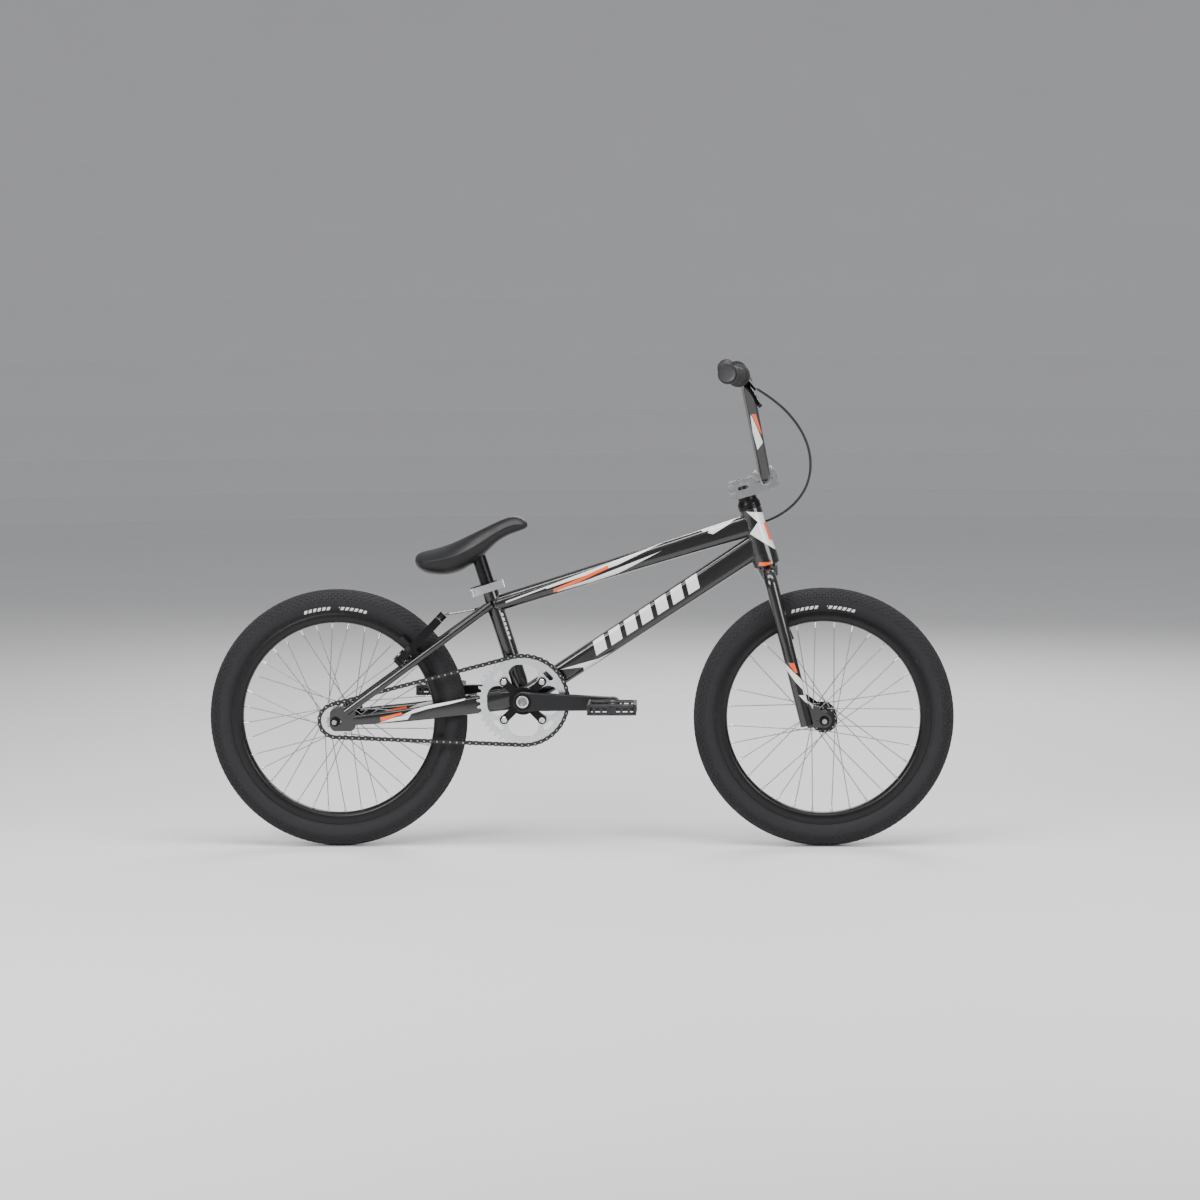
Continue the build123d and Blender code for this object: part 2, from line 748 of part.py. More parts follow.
head_taper_start = fork_length + 22.0
head_taper_end = head_top - 30.0
cup_depth = 12.0
with BuildPart() as head_tube:
    with BuildSketch(steer_section):
        with BuildLine():
            Polyline(
                (cup_radius, fork_length + cup_depth),
                (head_bottom_radius - 3, fork_length + cup_depth),
                (head_bottom_radius - 3, fork_length),
                (head_bottom_radius, fork_length),
                (head_bottom_radius, head_taper_start),
                (head_top_radius, head_taper_end),
                (head_top_radius, head_top),
                (cup_radius, head_top),
                close=True,
            )
        make_face()
    revolve(axis=steer_axis)
save(head_tube, "head_tube")
with BuildPart() as head_envelope:
    with BuildSketch(steer_section):
        with BuildLine():
            Polyline(
                (0, fork_length),
                (head_bottom_radius, fork_length),
                (head_bottom_radius, head_taper_start),
                (head_top_radius, head_taper_end),
                (head_top_radius, head_top),
                (0, head_top),
                close=True,
            )
        make_face()
    revolve(axis=steer_axis)

head_solid = head_envelope.part
bearing_bore = steerer_radius + running_clearance
with BuildPart() as headset_cups:
    add(ring(on_steerer(fork_length + 0.6), on_steerer(fork_length + cup_depth),
             head_bottom_radius - 3, bearing_bore))
    add(ring(on_steerer(head_top - cup_depth), on_steerer(head_top), cup_radius, bearing_bore))
    add(ring(on_steerer(head_top), on_steerer(head_top + 7), head_top_radius, bearing_bore))
save(headset_cups, "headset_cups")

seat_tube_top = on_seat_tube(seat_tube_length)
with BuildPart() as seat_tube:
    add(rod(bottom_bracket_point, seat_tube_top, seat_tube_radius))
    add(rod(bottom_bracket_point, seat_tube_top, seatpost_radius + running_clearance),
        mode=Mode.SUBTRACT)
    add(shell_solid, mode=Mode.SUBTRACT)
    with BuildSketch(seat_plane(seat_tube_length - 30)):
        with Locations((-seat_tube_radius, 0)):
            Rectangle(8, 2)
    extrude(amount=30, mode=Mode.SUBTRACT)
save(seat_tube, "seat_tube")
seat_solid = rod(bottom_bracket_point, seat_tube_top, seat_tube_radius)

# Top tube: round at the seat tube, growing into a tall rounded section at the head tube.
tube_start = on_seat_tube(top_tube_rear_height)
tube_end = on_steerer(head_top - top_tube_head_drop)
tube_run = tube_end - tube_start
tube_direction = tube_run.normalized()
stop_offset = cable_radius + 0.9
first_stop = tube_start + tube_run * 0.86 + left * (top_tube_front_width / 2 + stop_offset)
last_stop = tube_start + tube_run * 0.14 + left * (top_tube_rear_size / 2 + 0.5 + stop_offset)
cable_stops = (first_stop, (first_stop + last_stop) * 0.5, last_stop)
cable_direction = (first_stop - last_stop).normalized()
top_tube_stations = (
    (tube_start, top_tube_rear_size, top_tube_rear_size, top_tube_rear_size / 2 - 1),
    (tube_start + tube_run * 0.55, top_tube_rear_size + 2, top_tube_rear_size + 3, 12),
    (tube_end, top_tube_front_width, top_tube_front_height, 13),
)


def lofted_tube(stations, direction, shrink=0.0):
    """A tube's body through rounded-rectangle stations, all square to one direction."""
    with BuildPart() as body:
        for origin, width, height, corner in stations:
            with BuildSketch(Plane(origin=origin, x_dir=(0, 1, 0), z_dir=direction)):
                RectangleRounded(width - 2 * shrink, height - 2 * shrink, corner - shrink)
        loft()
    return body.part


top_tube_solid = lofted_tube(top_tube_stations, tube_run)
with BuildPart() as top_tube:
    add(top_tube_solid)
    for stop in cable_stops:
        add(rod(stop - tube_direction * 5, stop + tube_direction * 5, cable_radius + 2.0))
    add(lofted_tube(top_tube_stations, tube_run, tube_wall), mode=Mode.SUBTRACT)
    add(seat_solid, mode=Mode.SUBTRACT)
    add(head_solid, mode=Mode.SUBTRACT)
    guide_reach = cable_direction * 20
    add(rod(cable_stops[-1] - guide_reach, cable_stops[0] + guide_reach,
            cable_radius + running_clearance), mode=Mode.SUBTRACT)
save(top_tube, "top_tube")

# Down tube: flat-sided with creased corners, deeper at the head tube.
down_end = on_steerer(head_top - down_tube_head_drop)
down_run = down_end - bottom_bracket_point
down_tube_stations = (
    (bottom_bracket_point, down_tube_width, down_tube_height_rear, 9),
    (down_end, down_tube_width, down_tube_height_front, 11),
)
down_tube_solid = lofted_tube(down_tube_stations, down_run)
with BuildPart() as down_tube:
    add(down_tube_solid)
    add(lofted_tube(down_tube_stations, down_run, tube_wall), mode=Mode.SUBTRACT)
    add(seat_solid, mode=Mode.SUBTRACT)
    add(shell_solid, mode=Mode.SUBTRACT)
    add(head_solid, mode=Mode.SUBTRACT)
    add(top_tube_solid, mode=Mode.SUBTRACT)
save(down_tube, "down_tube")

# Stays and dropouts.
dropout_mid = (rear_dropout_spacing + dropout_thickness) / 2
stay_direction = Vector(cos(radians(seat_stay_angle)), 0, sin(radians(seat_stay_angle)))
stay_foot = rear_axle_point + Vector(21.0, 0, 18.5)
stay_length = 349.0
stay_top = stay_foot + stay_direction * stay_length
boss_base = stay_foot + stay_direction * brake_boss_distance
stay_bend = 80.0
stay_bend_radius = 150.0


def stay_across(distance):
    """How far a seat stay's axis stands from the middle plane, by distance from its foot."""
    share = max(0.0, distance - stay_bend) / (stay_length - stay_bend)
    return stay_spread_bottom + (stay_spread_top - stay_spread_bottom) * share


arm_along = Vector(cos(radians(brake_arm_angle)), 0, sin(radians(brake_arm_angle)))
arm_out = Vector(-sin(radians(brake_arm_angle)), 0, cos(radians(brake_arm_angle)))
boss_across = stay_across(brake_boss_distance)
arm_start = 10.5
arm_end = arm_start + brake_arm_width
boss_length = arm_end + end_play

dropout_height = 46.0
dropout_front = 40.0
dropout_tail = 10.0
slot_front = 12.0
with BuildPart() as rear_dropouts:
    for side in sides:
        with BuildSketch(side_plane(rear_axle_point, side * dropout_mid)):
            with Locations(((dropout_front - dropout_tail) / 2, 4.0)):
                RectangleRounded(dropout_front + dropout_tail, dropout_height, 12)
            slot_length = slot_front + dropout_tail + 10
            with Locations((slot_front - slot_length / 2, 0)):
                SlotOverall(slot_length, 2 * axle_radius + 0.4, mode=Mode.SUBTRACT)
        extrude(amount=dropout_thickness / 2, both=True)
save(rear_dropouts, "rear_dropouts")

with BuildPart() as seat_stays:
    for side in sides:
        stay_route = [
            stay_foot + stay_direction * distance + left * side * stay_across(distance)
            for distance in (0, stay_bend, stay_length)
        ]
        add(bent_tube(stay_route, stay_bend_radius, seat_stay_radius, seat_stay_radius - stay_wall))
        base = boss_base + left * side * boss_across
        add(rod(base, base + arm_out * (arm_start - 0.3), 6.5))
        add(rod(base, base + arm_out * boss_length, brake_boss_radius))
        add(rod(base + arm_out * boss_length, base + arm_out * (boss_length + 3), 6.0))
    add(seat_solid, mode=Mode.SUBTRACT)
    add(top_tube_solid, mode=Mode.SUBTRACT)
    add(rear_dropouts.part, mode=Mode.SUBTRACT)
save(seat_stays, "seat_stays")

# Chainstays: slim behind the tyre, deep at the bottom bracket, bowed in past the tyre.
stay_stations = (
    (36.0, 2.0, dropout_mid + 1.0, chainstay_height_rear, 12.0),
    (150.0, 12.0, 44.0, chainstay_height_rear + 8.0, chainstay_width),
    (228.0, 22.0, 35.0, chainstay_height_front - 4.0, chainstay_width),
    (290.0, 31.0, 31.0, chainstay_height_front, chainstay_width),
    (rear_centre - 14.0, bottom_bracket_rise - 2.0, 28.0, chainstay_height_front, chainstay_width),
)


def make_chainstay(side, shrink=0.0):
    """One chainstay's body, lofted through its stations from the dropout to the bottom bracket."""
    with BuildPart() as stay:
        for ahead, rise, across, height, width in stay_stations:
            station = rear_axle_point + Vector(ahead, side * across, rise)
            with BuildSketch(Plane(origin=station, x_dir=(0, 1, 0), z_dir=(1, 0, 0))):
                RectangleRounded(width - 2 * shrink, height - 2 * shrink, width / 2 - 1 - shrink)
        loft()
    return stay.part


with BuildPart() as chainstays:
    for side in sides:
        add(make_chainstay(side))
    for side in sides:
        add(make_chainstay(side, stay_wall), mode=Mode.SUBTRACT)
    add(shell_solid, mode=Mode.SUBTRACT)
    add(down_tube_solid, mode=Mode.SUBTRACT)
    add(seat_solid, mode=Mode.SUBTRACT)
    add(rear_dropouts.part, mode=Mode.SUBTRACT)
save(chainstays, "chainstays")

# Bridges: one between the seat stays above the tyre, one between the chainstays ahead of it.
seat_bridge_distance = 293.0
seat_bridge = stay_foot + stay_direction * seat_bridge_distance
chain_bridge = rear_axle_point + Vector(298.0, 0, 32.0)
with BuildPart() as stay_bridges:
    seat_bridge_half = stay_across(seat_bridge_distance)
    chain_bridge_half = 30.0
    add(rod(seat_bridge - left * seat_bridge_half, seat_bridge + left * seat_bridge_half, 6.0))
    add(rod(chain_bridge - left * chain_bridge_half, chain_bridge + left * chain_bridge_half, 7.0))
    add(seat_stays.part, mode=Mode.SUBTRACT)
    add(chainstays.part, mode=Mode.SUBTRACT)
save(stay_bridges, "stay_bridges")

# Chain tensioners: a cap on each dropout's tail and a draw bolt along the slot to the axle.
with BuildPart() as chain_tensioners:
    for side in sides:
        tail = rear_axle_point + Vector(-dropout_tail - 0.05, side * dropout_mid, 0)
        with BuildSketch(Plane(origin=tail, x_dir=(0, 1, 0), z_dir=(-1, 0, 0))):
            RectangleRounded(dropout_thickness - 0.4, 22, 2)
        extrude(amount=5)
        add(rod(tail + Vector(-9, 0, 0), tail + Vector(dropout_tail - axle_radius, 0, 0), 2.0))
save(chain_tensioners, "chain_tensioners")

# === Seat ===================================================================================
post_base_height = seat_tube_length - seatpost_insertion
post_bottom = on_seat_tube(post_base_height)
post_top = on_seat_tube(post_base_height + seatpost_length)
with BuildPart() as seatpost:
    add(ring(post_bottom, post_top, seatpost_radius, seatpost_radius - seatpost_wall))
save(seatpost, "seatpost")

clamp_base = seat_tube_length - clamp_height + 2.0
clamp_middle = clamp_base + clamp_height / 2
clamp_outer = seat_tube_radius + clamp_wall
ear_half = 11.0
skewer_back = -(clamp_outer + 8.0)
ear_reach = -skewer_back + 6.0
skewer_radius = 2.6
lever_pivot_across = -(clamp_outer + 6.5)
skewer_mid = on_seat_tube(clamp_middle, skewer_back)
with BuildPart() as seat_clamp_collar:
    with BuildSketch(seat_plane(clamp_base)):
        Circle(clamp_outer)
        with Locations((-ear_reach / 2, 0)):
            RectangleRounded(ear_reach, 2 * ear_half, 3)
        Circle(seat_tube_radius, mode=Mode.SUBTRACT)
        with Locations((-ear_reach, 0)):
            Rectangle(ear_reach, 4.0, mode=Mode.SUBTRACT)
    extrude(amount=clamp_height)
    add(rod(skewer_mid - left * 20, skewer_mid + left * 20, skewer_radius), mode=Mode.SUBTRACT)
save(seat_clamp_collar, "seat_clamp_collar")

barrel_radius = 7.0
eye_half = 4.0
pin_reach = clamp_height / 2 - 1.5
pivot_point = skewer_mid + left * lever_pivot_across
with BuildPart() as seat_clamp_skewer:
    add(rod(pivot_point, skewer_mid + left * (ear_half + 7), skewer_radius))
    add(rod(pivot_point - seat_up * eye_half, pivot_point + seat_up * eye_half, 4.4))
    add(rod(pivot_point - seat_up * pin_reach, pivot_point + seat_up * pin_reach, 2.0))
    add(rod(skewer_mid + left * ear_half, skewer_mid + left * (ear_half + 7), 6.5))
    add(rod(skewer_mid - left * (ear_half + 5), skewer_mid - left * ear_half, 6.0))
save(seat_clamp_skewer, "seat_clamp_skewer")

seat_lever_length = 62.0
with BuildPart() as seat_clamp_lever:
    with BuildSketch(seat_plane(clamp_base + 0.8, skewer_back, lever_pivot_across)):
        Circle(barrel_radius)
        with BuildLine():
            Polyline((-2, -barrel_radius), (22, -barrel_radius - 2), (seat_lever_length - 2, -6),
                     (seat_lever_length - 2, 0.5), (22, -0.5), (4, 3), close=True)
        make_face()
        with Locations((seat_lever_length - 3, -2.8)):
            Circle(3.4)
        Circle(2.0 + running_clearance, mode=Mode.SUBTRACT)
    extrude(amount=clamp_height - 1.6)
    with BuildSketch(seat_plane(clamp_middle - eye_half - 0.3, skewer_back, lever_pivot_across)):
        Circle(barrel_radius + 0.6)
    extrude(amount=2 * eye_half + 0.6, mode=Mode.SUBTRACT)
save(seat_clamp_lever, "seat_clamp_lever")

# Saddle: a one-piece moulded shell, long nose up, wide and deep at the tail.
saddle_point = on_seat_tube(post_base_height + seatpost_length - 29.0)
saddle_side = (
    (-124.0, -6.0), (-124.0, 5.0), (-112.0, 13.5), (-66.0, 25.5), (-21.0, 46.0), (23.0, 67.0),
    (54.0, 81.5), (70.0, 84.5), (83.0, 81.0), (97.0, 67.0), (90.0, 58.0), (66.0, 49.5),
    (45.0, 41.0), (31.0, 32.0), (21.0, 19.0), (10.0, 6.0), (-12.0, -9.0), (-29.0, -21.5),
    (-46.0, -30.0), (-80.0, -31.0), (-106.0, -27.0), (-120.0, -17.0),
)
saddle_half = saddle_width / 2
saddle_plan = (
    (-126, 0), (-112, saddle_half * 0.8), (-70, saddle_half), (-10, saddle_half * 0.55), (40, 22),
    (80, 19), (99, 0),
)
with BuildPart() as saddle:
    with BuildSketch(side_plane(saddle_point)):
        with BuildLine():
            Polyline(*saddle_side, close=True)
        make_face()
    extrude(amount=saddle_half, both=True)
    with BuildSketch(Plane(origin=saddle_point - Vector(0, 0, 60))):
        with BuildLine():
            Spline(*saddle_plan, tangents=((0, 1), (0, -1)))
            Line(saddle_plan[-1], saddle_plan[0])
        make_face()
        mirror(about=Plane.XZ)
    extrude(amount=160, mode=Mode.INTERSECT)
    add(rod(post_bottom, post_top, seatpost_radius), mode=Mode.SUBTRACT)
save(saddle, "saddle")

# === Fork and steering ======================================================================
leg_top_height = fork_length - 20.0
crown_height = fork_length - 12.0
steerer_top = stem_bottom + stem_height - 2.0
with BuildPart() as fork_crown:
    add(rod(on_steerer(crown_height - 14), on_steerer(crown_height + 6), 16.0, 21.0))
    add(rod(on_steerer(crown_height + 6), on_steerer(fork_length - end_play), 21.0,
            head_bottom_radius - 2))
    add(ring(on_steerer(fork_length - 2), on_steerer(steerer_top), steerer_radius,
             steerer_radius - steerer_wall))
save(fork_crown, "fork_crown")

plate_half = dropout_thickness / 2
leg_bend_radius = 26.0
with BuildPart() as fork_legs:
    for side in sides:
        leg_route = (
            on_steerer(crown_height - 4, 0, side * 8),
            on_steerer(leg_top_height, 0, side * fork_leg_spread_top),
            on_steerer(0, -fork_leg_setback, side * fork_leg_spread_bottom),
        )
        add(bent_tube(leg_route, leg_bend_radius, fork_leg_radius, fork_leg_radius - fork_leg_wall))
        cap_start = leg_route[2]
        cap_end = cap_start + (leg_route[1] - cap_start).normalized() * fork_leg_wall
        add(rod(cap_start, cap_end, fork_leg_radius))
        plate_across = side * (front_dropout_spacing / 2 + plate_half)
        plate_plane = Plane(origin=on_steerer(0, 0, plate_across), x_dir=steer_forward, z_dir=-left)
        with BuildSketch(plate_plane):
            with Locations((fork_rake, 0)):
                Circle(14.0)
            with BuildLine():
                Polyline((-fork_leg_setback, -4), (fork_rake, -14), (fork_rake + 13, 5), (2, 48),
                         (-fork_leg_setback, 48), close=True)
            make_face()
        extrude(amount=plate_half, both=True)
        with BuildSketch(plate_plane):
            with Locations((fork_rake, 0)):
                Circle(axle_radius)
        extrude(amount=dropout_thickness, both=True, mode=Mode.SUBTRACT)
    add(fork_crown.part, mode=Mode.SUBTRACT)
save(fork_legs, "fork_legs")

cover_base = head_top + 7.0
cover_top = cover_base + 11.0
with BuildPart() as headset_top_cover:
    with BuildSketch(steer_section):
        with BuildLine():
            Polyline((steerer_radius, cover_base + end_play), (head_top_radius, cover_base + end_play),
                     (head_top_radius, cover_base + 4), (steerer_radius + 4, cover_top),
                     (steerer_radius, cover_top), close=True)
        make_face()
    revolve(axis=steer_axis)
    add(ring(on_steerer(cover_top), on_steerer(stem_bottom), steerer_radius + 3.5, steerer_radius))
save(headset_top_cover, "headset_top_cover")

bar_height = stem_bottom + 21.7
bar_point = on_steerer(bar_height, stem_reach)
stem_top = stem_bottom + stem_height
split_gap = 0.8
cap_height = 17.0
pinch_heights = (stem_bottom + 10.5, stem_bottom + 26.0)
pinch_back = -24.0
bolt_radius = 3.0
bolt_head_radius = 4.6
cap_bolts = [(stem_reach + along, across) for along in (-15.5, 15.5) for across in (-15, 15)]
with BuildPart() as stem_body:
    with BuildSketch(steer_section):
        with BuildLine():
            Polyline((-26, stem_bottom), (20, stem_bottom), (60, stem_bottom + 3),
                     (68, stem_bottom + 6), (68, bar_height - split_gap), (24, bar_height - split_gap),
                     (20, stem_top), (-26, stem_top), (-31, stem_top - 5), (-31, stem_bottom + 5),
                     close=True)
        make_face()
    extrude(amount=stem_width / 2, both=True)
    with BuildSketch(steer_section):
        with Locations((stem_reach, bar_height)):
            Circle(bar_radius)
        with Locations((-2, stem_bottom + 19)):
            SlotOverall(20, 7)
    extrude(amount=stem_width, both=True, mode=Mode.SUBTRACT)
    add(rod(on_steerer(stem_bottom - 5), on_steerer(stem_top + 5), steerer_radius), mode=Mode.SUBTRACT)
    with BuildSketch(steerer_plane(stem_bottom - 5)):
        with Locations((-22, 0)):
            Rectangle(24, 3)
    extrude(amount=stem_height + 10, mode=Mode.SUBTRACT)
    for height in pinch_heights:
        add(rod(on_steerer(height, pinch_back, -stem_width), on_steerer(height, pinch_back, stem_width),
                bolt_radius), mode=Mode.SUBTRACT)
    for along, across in cap_bolts:
        add(rod(on_steerer(stem_bottom - 5, along, across), on_steerer(bar_height, along, across),
                bolt_radius), mode=Mode.SUBTRACT)
save(stem_body, "stem_body")

with BuildPart() as stem_bar_cap:
    with BuildSketch(steer_section):
        with BuildLine():
            Polyline((24.6, bar_height + split_gap), (68, bar_height + split_gap),
                     (68, bar_height + cap_height - 5), (64, bar_height + cap_height),
                     (28, bar_height + cap_height), (24.6, bar_height + cap_height - 4), close=True)
        make_face()
        with Locations((stem_reach, bar_height)):
            Circle(bar_radius, mode=Mode.SUBTRACT)
    extrude(amount=stem_width / 2 - 2, both=True)
    for along, across in cap_bolts:
        add(rod(on_steerer(bar_height - 1, along, across), on_steerer(bar_height + 30, along, across),
                bolt_radius), mode=Mode.SUBTRACT)
save(stem_bar_cap, "stem_bar_cap")

with BuildPart() as stem_bolts:
    for height in pinch_heights:
        head = on_steerer(height, pinch_back, -stem_width / 2)
        add(rod(head, on_steerer(height, pinch_back, stem_width / 2), bolt_radius))
        add(rod(head - left * 3.0, head, bolt_head_radius))
    for along, across in cap_bolts:
        head = on_steerer(bar_height + cap_height, along, across)
        add(rod(on_steerer(stem_bottom + 5, along, across), head, bolt_radius))
        add(rod(head, head + steer_up * 4, bolt_head_radius))
save(stem_bolts, "stem_bolts")

# Handlebar: clamp section, legs rising out and back, a crossbar, and swept grips.
half_bar = bar_width / 2
leg_back = bar_rise * tan(radians(bar_lean))
upper_bend = bar_point + Vector(-leg_back, 0, bar_rise)
grip_run = half_bar - bar_upper_bend
grip_back = grip_run * tan(radians(bar_backsweep))
grip_up = grip_run * tan(radians(bar_upsweep))


def bar_half_points(side):
    """The bends of one half of the handlebar, from the stem outwards."""
    return (
        bar_point + left * side * bar_lower_bend,
        upper_bend + left * side * bar_upper_bend,
        upper_bend + Vector(-grip_back, side * half_bar, grip_up),
    )


bar_points = (*reversed(bar_half_points(-1)), *bar_half_points(1))
bar_bends = (46.0, 32.0, 32.0, 46.0)
cross_share = 0.62
cross_ends = [
    bar_half_points(side)[0]
    + (bar_half_points(side)[1] - bar_half_points(side)[0]) * cross_share for side in sides
]
with BuildPart() as handlebar:
    add(bent_tube(bar_points, bar_bends, bar_radius, bar_radius - bar_wall))
    crossbar = rod(cross_ends[0], cross_ends[1], crossbar_radius)
    add(crossbar)
save(handlebar, "handlebar")


def grip_point(side, from_end):
    """A point on a grip section's axis, measured inwards from the bar's end."""
    end = bar_half_points(side)[2]
    inwards = (bar_half_points(side)[1] - end).normalized()
    return end + inwards * from_end


with BuildPart() as grips:
    for side in sides:
        add(ring(grip_point(side, 0), grip_point(side, grip_length), grip_radius, bar_radius))
        add(ring(grip_point(side, grip_length - 4), grip_point(side, grip_length), grip_radius + 5,
                 bar_radius))
        add(ring(grip_point(side, 0), grip_point(side, 3), grip_radius + 2, bar_radius))
save(grips, "grips")

with BuildPart() as bar_end_plugs:
    for side in sides:
        add(rod(grip_point(side, -4), grip_point(side, 0), grip_radius - 1.5))
save(bar_end_plugs, "bar_end_plugs")

# Brake lever on the right side: a perch clamped to the bar, a pivot pin and a blade.
outwards = (grip_point(-1, 0) - grip_point(-1, grip_length)).normalized()
reach_flat = Vector(cos(radians(lever_drop_angle)), 0, -sin(radians(lever_drop_angle)))
reach = (reach_flat - outwards * reach_flat.dot(outwards)).normalized()
pin_direction = outwards.cross(reach)
perch_centre = grip_point(-1, half_bar - lever_offset)
pin_along = 6.0
pin_centre = perch_centre + reach * lever_reach + outwards * pin_along
perch_plane = Plane(origin=perch_centre, x_dir=outwards, z_dir=pin_direction)
perch_half = 7.0
slot_half = 4.0
perch_tail = 22.0
with BuildPart() as lever_perch:
    add(ring(perch_centre - outwards * 8, perch_centre + outwards * 8, bar_radius + 4, bar_radius))
    with BuildSketch(perch_plane.offset(-perch_half)):
        with BuildLine():
            Polyline((-8, bar_radius + 1.5), (8, bar_radius + 1.5), (12, lever_reach - 4),
                     (12, lever_reach + 7), (0, lever_reach + 7), (-perch_tail, lever_reach - 1),
                     (-perch_tail, lever_reach - 13), close=True)
        make_face()
    extrude(amount=2 * perch_half)
    with BuildSketch(perch_plane.offset(-slot_half)):
        with BuildLine():
            Polyline((-12, lever_reach - 9), (40, lever_reach - 9), (40, lever_reach + 20),
                     (-12, lever_reach + 20), close=True)
        make_face()
    extrude(amount=2 * slot_half, mode=Mode.SUBTRACT)
    add(rod(pin_centre - pin_direction * perch_half, pin_centre + pin_direction * perch_half,
            lever_pin_radius))
save(lever_perch, "lever_perch")

barrel_start = perch_centre + reach * (lever_reach - 7) - outwards * perch_tail
barrel_end = barrel_start - outwards * 16
with BuildPart() as cable_adjuster:
    add(rod(barrel_start, barrel_start - outwards * 8, 5.5))
    add(rod(barrel_start - outwards * 8, barrel_end, 4.0))
save(cable_adjuster, "cable_adjuster")

blade_half = slot_half - 0.4
blade_outline = (
    (0, 5), (14, -6), (34, 2), (70, 24), (98, 34), (106, 42), (100, 47), (84, 40), (52, 24), (24, 10),
)
with BuildPart() as brake_lever_blade:
    with BuildSketch(perch_plane.offset(-blade_half)):
        with BuildLine():
            Polyline(*[(along, lever_reach + out) for along, out in blade_outline], close=True)
        make_face()
        with Locations((pin_along, lever_reach)):
            Circle(6.5)
            Circle(lever_pin_radius + running_clearance, mode=Mode.SUBTRACT)
    extrude(amount=2 * blade_half)
save(brake_lever_blade, "brake_lever_blade")

# === Rear brake =============================================================================
pad_point = polar(rear_axle_point, pad_radius, pad_bearing)
pad_face = rim_half + pad_gap
arm_seat = boss_base + arm_out * (arm_start + brake_arm_width / 2) + arm_along * brake_arm_length
seat_half = 5.5


def make_pad(side):
    """A brake block with its threaded post through the arm and the nut outside it."""
    radial = Vector(cos(radians(pad_bearing)), 0, sin(radians(pad_bearing)))
    origin = pad_point + left * side * pad_face
    outer_face = boss_across + brake_arm_thickness / 2
    nut_start = pad_point + left * side * outer_face
    with BuildPart() as pad:
        with BuildSketch(Plane(origin=origin, x_dir=radial, z_dir=left * side)):
            RectangleRounded(pad_height, pad_length, 3)
        extrude(amount=pad_thickness)
        add(rod(origin + left * side * pad_thickness, nut_start + left * side * 9, 3.0))
        add(hexagon(nut_start, nut_start + left * side * 6, 6.0))
    return pad


def make_brake_arm(side, pad):
    """One brake arm: it turns on its boss, carries a pad's post and ends in the cable's seat."""
    origin = boss_base + arm_out * arm_start + left * side * boss_across
    with BuildPart() as arm:
        with BuildSketch(Plane(origin=origin, x_dir=-left, z_dir=arm_out)):
            Circle(8.5)
            with Locations((0, brake_arm_length / 2)):
                Rectangle(brake_arm_thickness, brake_arm_length)
            with Locations((0, brake_arm_length)):
                Circle(brake_arm_thickness / 2)
            Circle(brake_boss_radius + running_clearance, mode=Mode.SUBTRACT)
        extrude(amount=brake_arm_width)
        seat_point = arm_seat + left * side * boss_across
        add(rod(seat_point - left * side * seat_half, seat_point + left * side * seat_half, 5.0))
        add(pad, mode=Mode.SUBTRACT)
    return arm


for side, name in ((-1, "right"), (1, "left")):
    pad = make_pad(side)
    save(make_brake_arm(side, pad.part), f"brake_arm_{name}")
    save(pad, f"brake_pad_{name}")

# === Cables =================================================================================
noodle_start = arm_seat + left * (boss_across + seat_half)
noodle_bend = 13.0
noodle_corner = noodle_start + left * 17.0
noodle_end = noodle_start + Vector(64, 1, 12)
noodle_direction = (noodle_end - noodle_corner).normalized()
with BuildPart() as brake_noodle:
    add(bent_tube((noodle_start, noodle_corner, noodle_end), noodle_bend, cable_radius))
save(brake_noodle, "brake_noodle")

front_cable_points = (
    barrel_end,
    barrel_end - outwards * 22,
    Vector(368, -148, 878),
    Vector(398, -126, 853),
    Vector(423, -102, 822),
    Vector(439, -78, 791),
    Vector(447, -54, 759),
    Vector(447, -31, 727),
    Vector(438, -8, 696),
    Vector(419, 14, 668),
    Vector(391, 30, 645),
    Vector(357, 37, 630),
    Vector(326, 32, 622),
    cable_stops[0] + cable_direction * 24,
    cable_stops[0],
)
front_radii = cord_radii(front_cable_points)
print("front cable radii", [round(radius, 1) for radius in front_radii])
with BuildPart() as front_brake_cable:
    add(bent_tube(front_cable_points, front_radii, cable_radius))
save(front_brake_cable, "front_brake_cable")

rear_cable_points = (
    cable_stops[0],
    cable_stops[-1] - cable_direction * 26,
    cable_stops[-1] - cable_direction * 60 + left * 9,
    noodle_end + noodle_direction * 20,
    noodle_end,
)
rear_radii = cord_radii(rear_cable_points)
print("rear cable radii", [round(radius, 1) for radius in rear_radii])
with BuildPart() as rear_brake_cable:
    add(bent_tube(rear_cable_points, rear_radii, cable_radius))
save(rear_brake_cable, "rear_brake_cable")


def cable_check(builder, name):
    """Print a cable's length beside its volume over its section."""
    section = pi * cable_radius**2
    print(name, "volume over section", round(builder.part.volume / section, 1))


cable_check(front_brake_cable, "front cable")
cable_check(rear_brake_cable, "rear cable")
cable_check(brake_noodle, "noodle")
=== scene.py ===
# A 20-inch BMX bicycle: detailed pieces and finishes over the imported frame.

import json
import logging
import math
from dataclasses import dataclass
from enum import Enum
from typing import Any, Iterable, Sequence

import bmesh
import bpy
from mathutils import Matrix, Vector
from mathutils.bvhtree import BVHTree


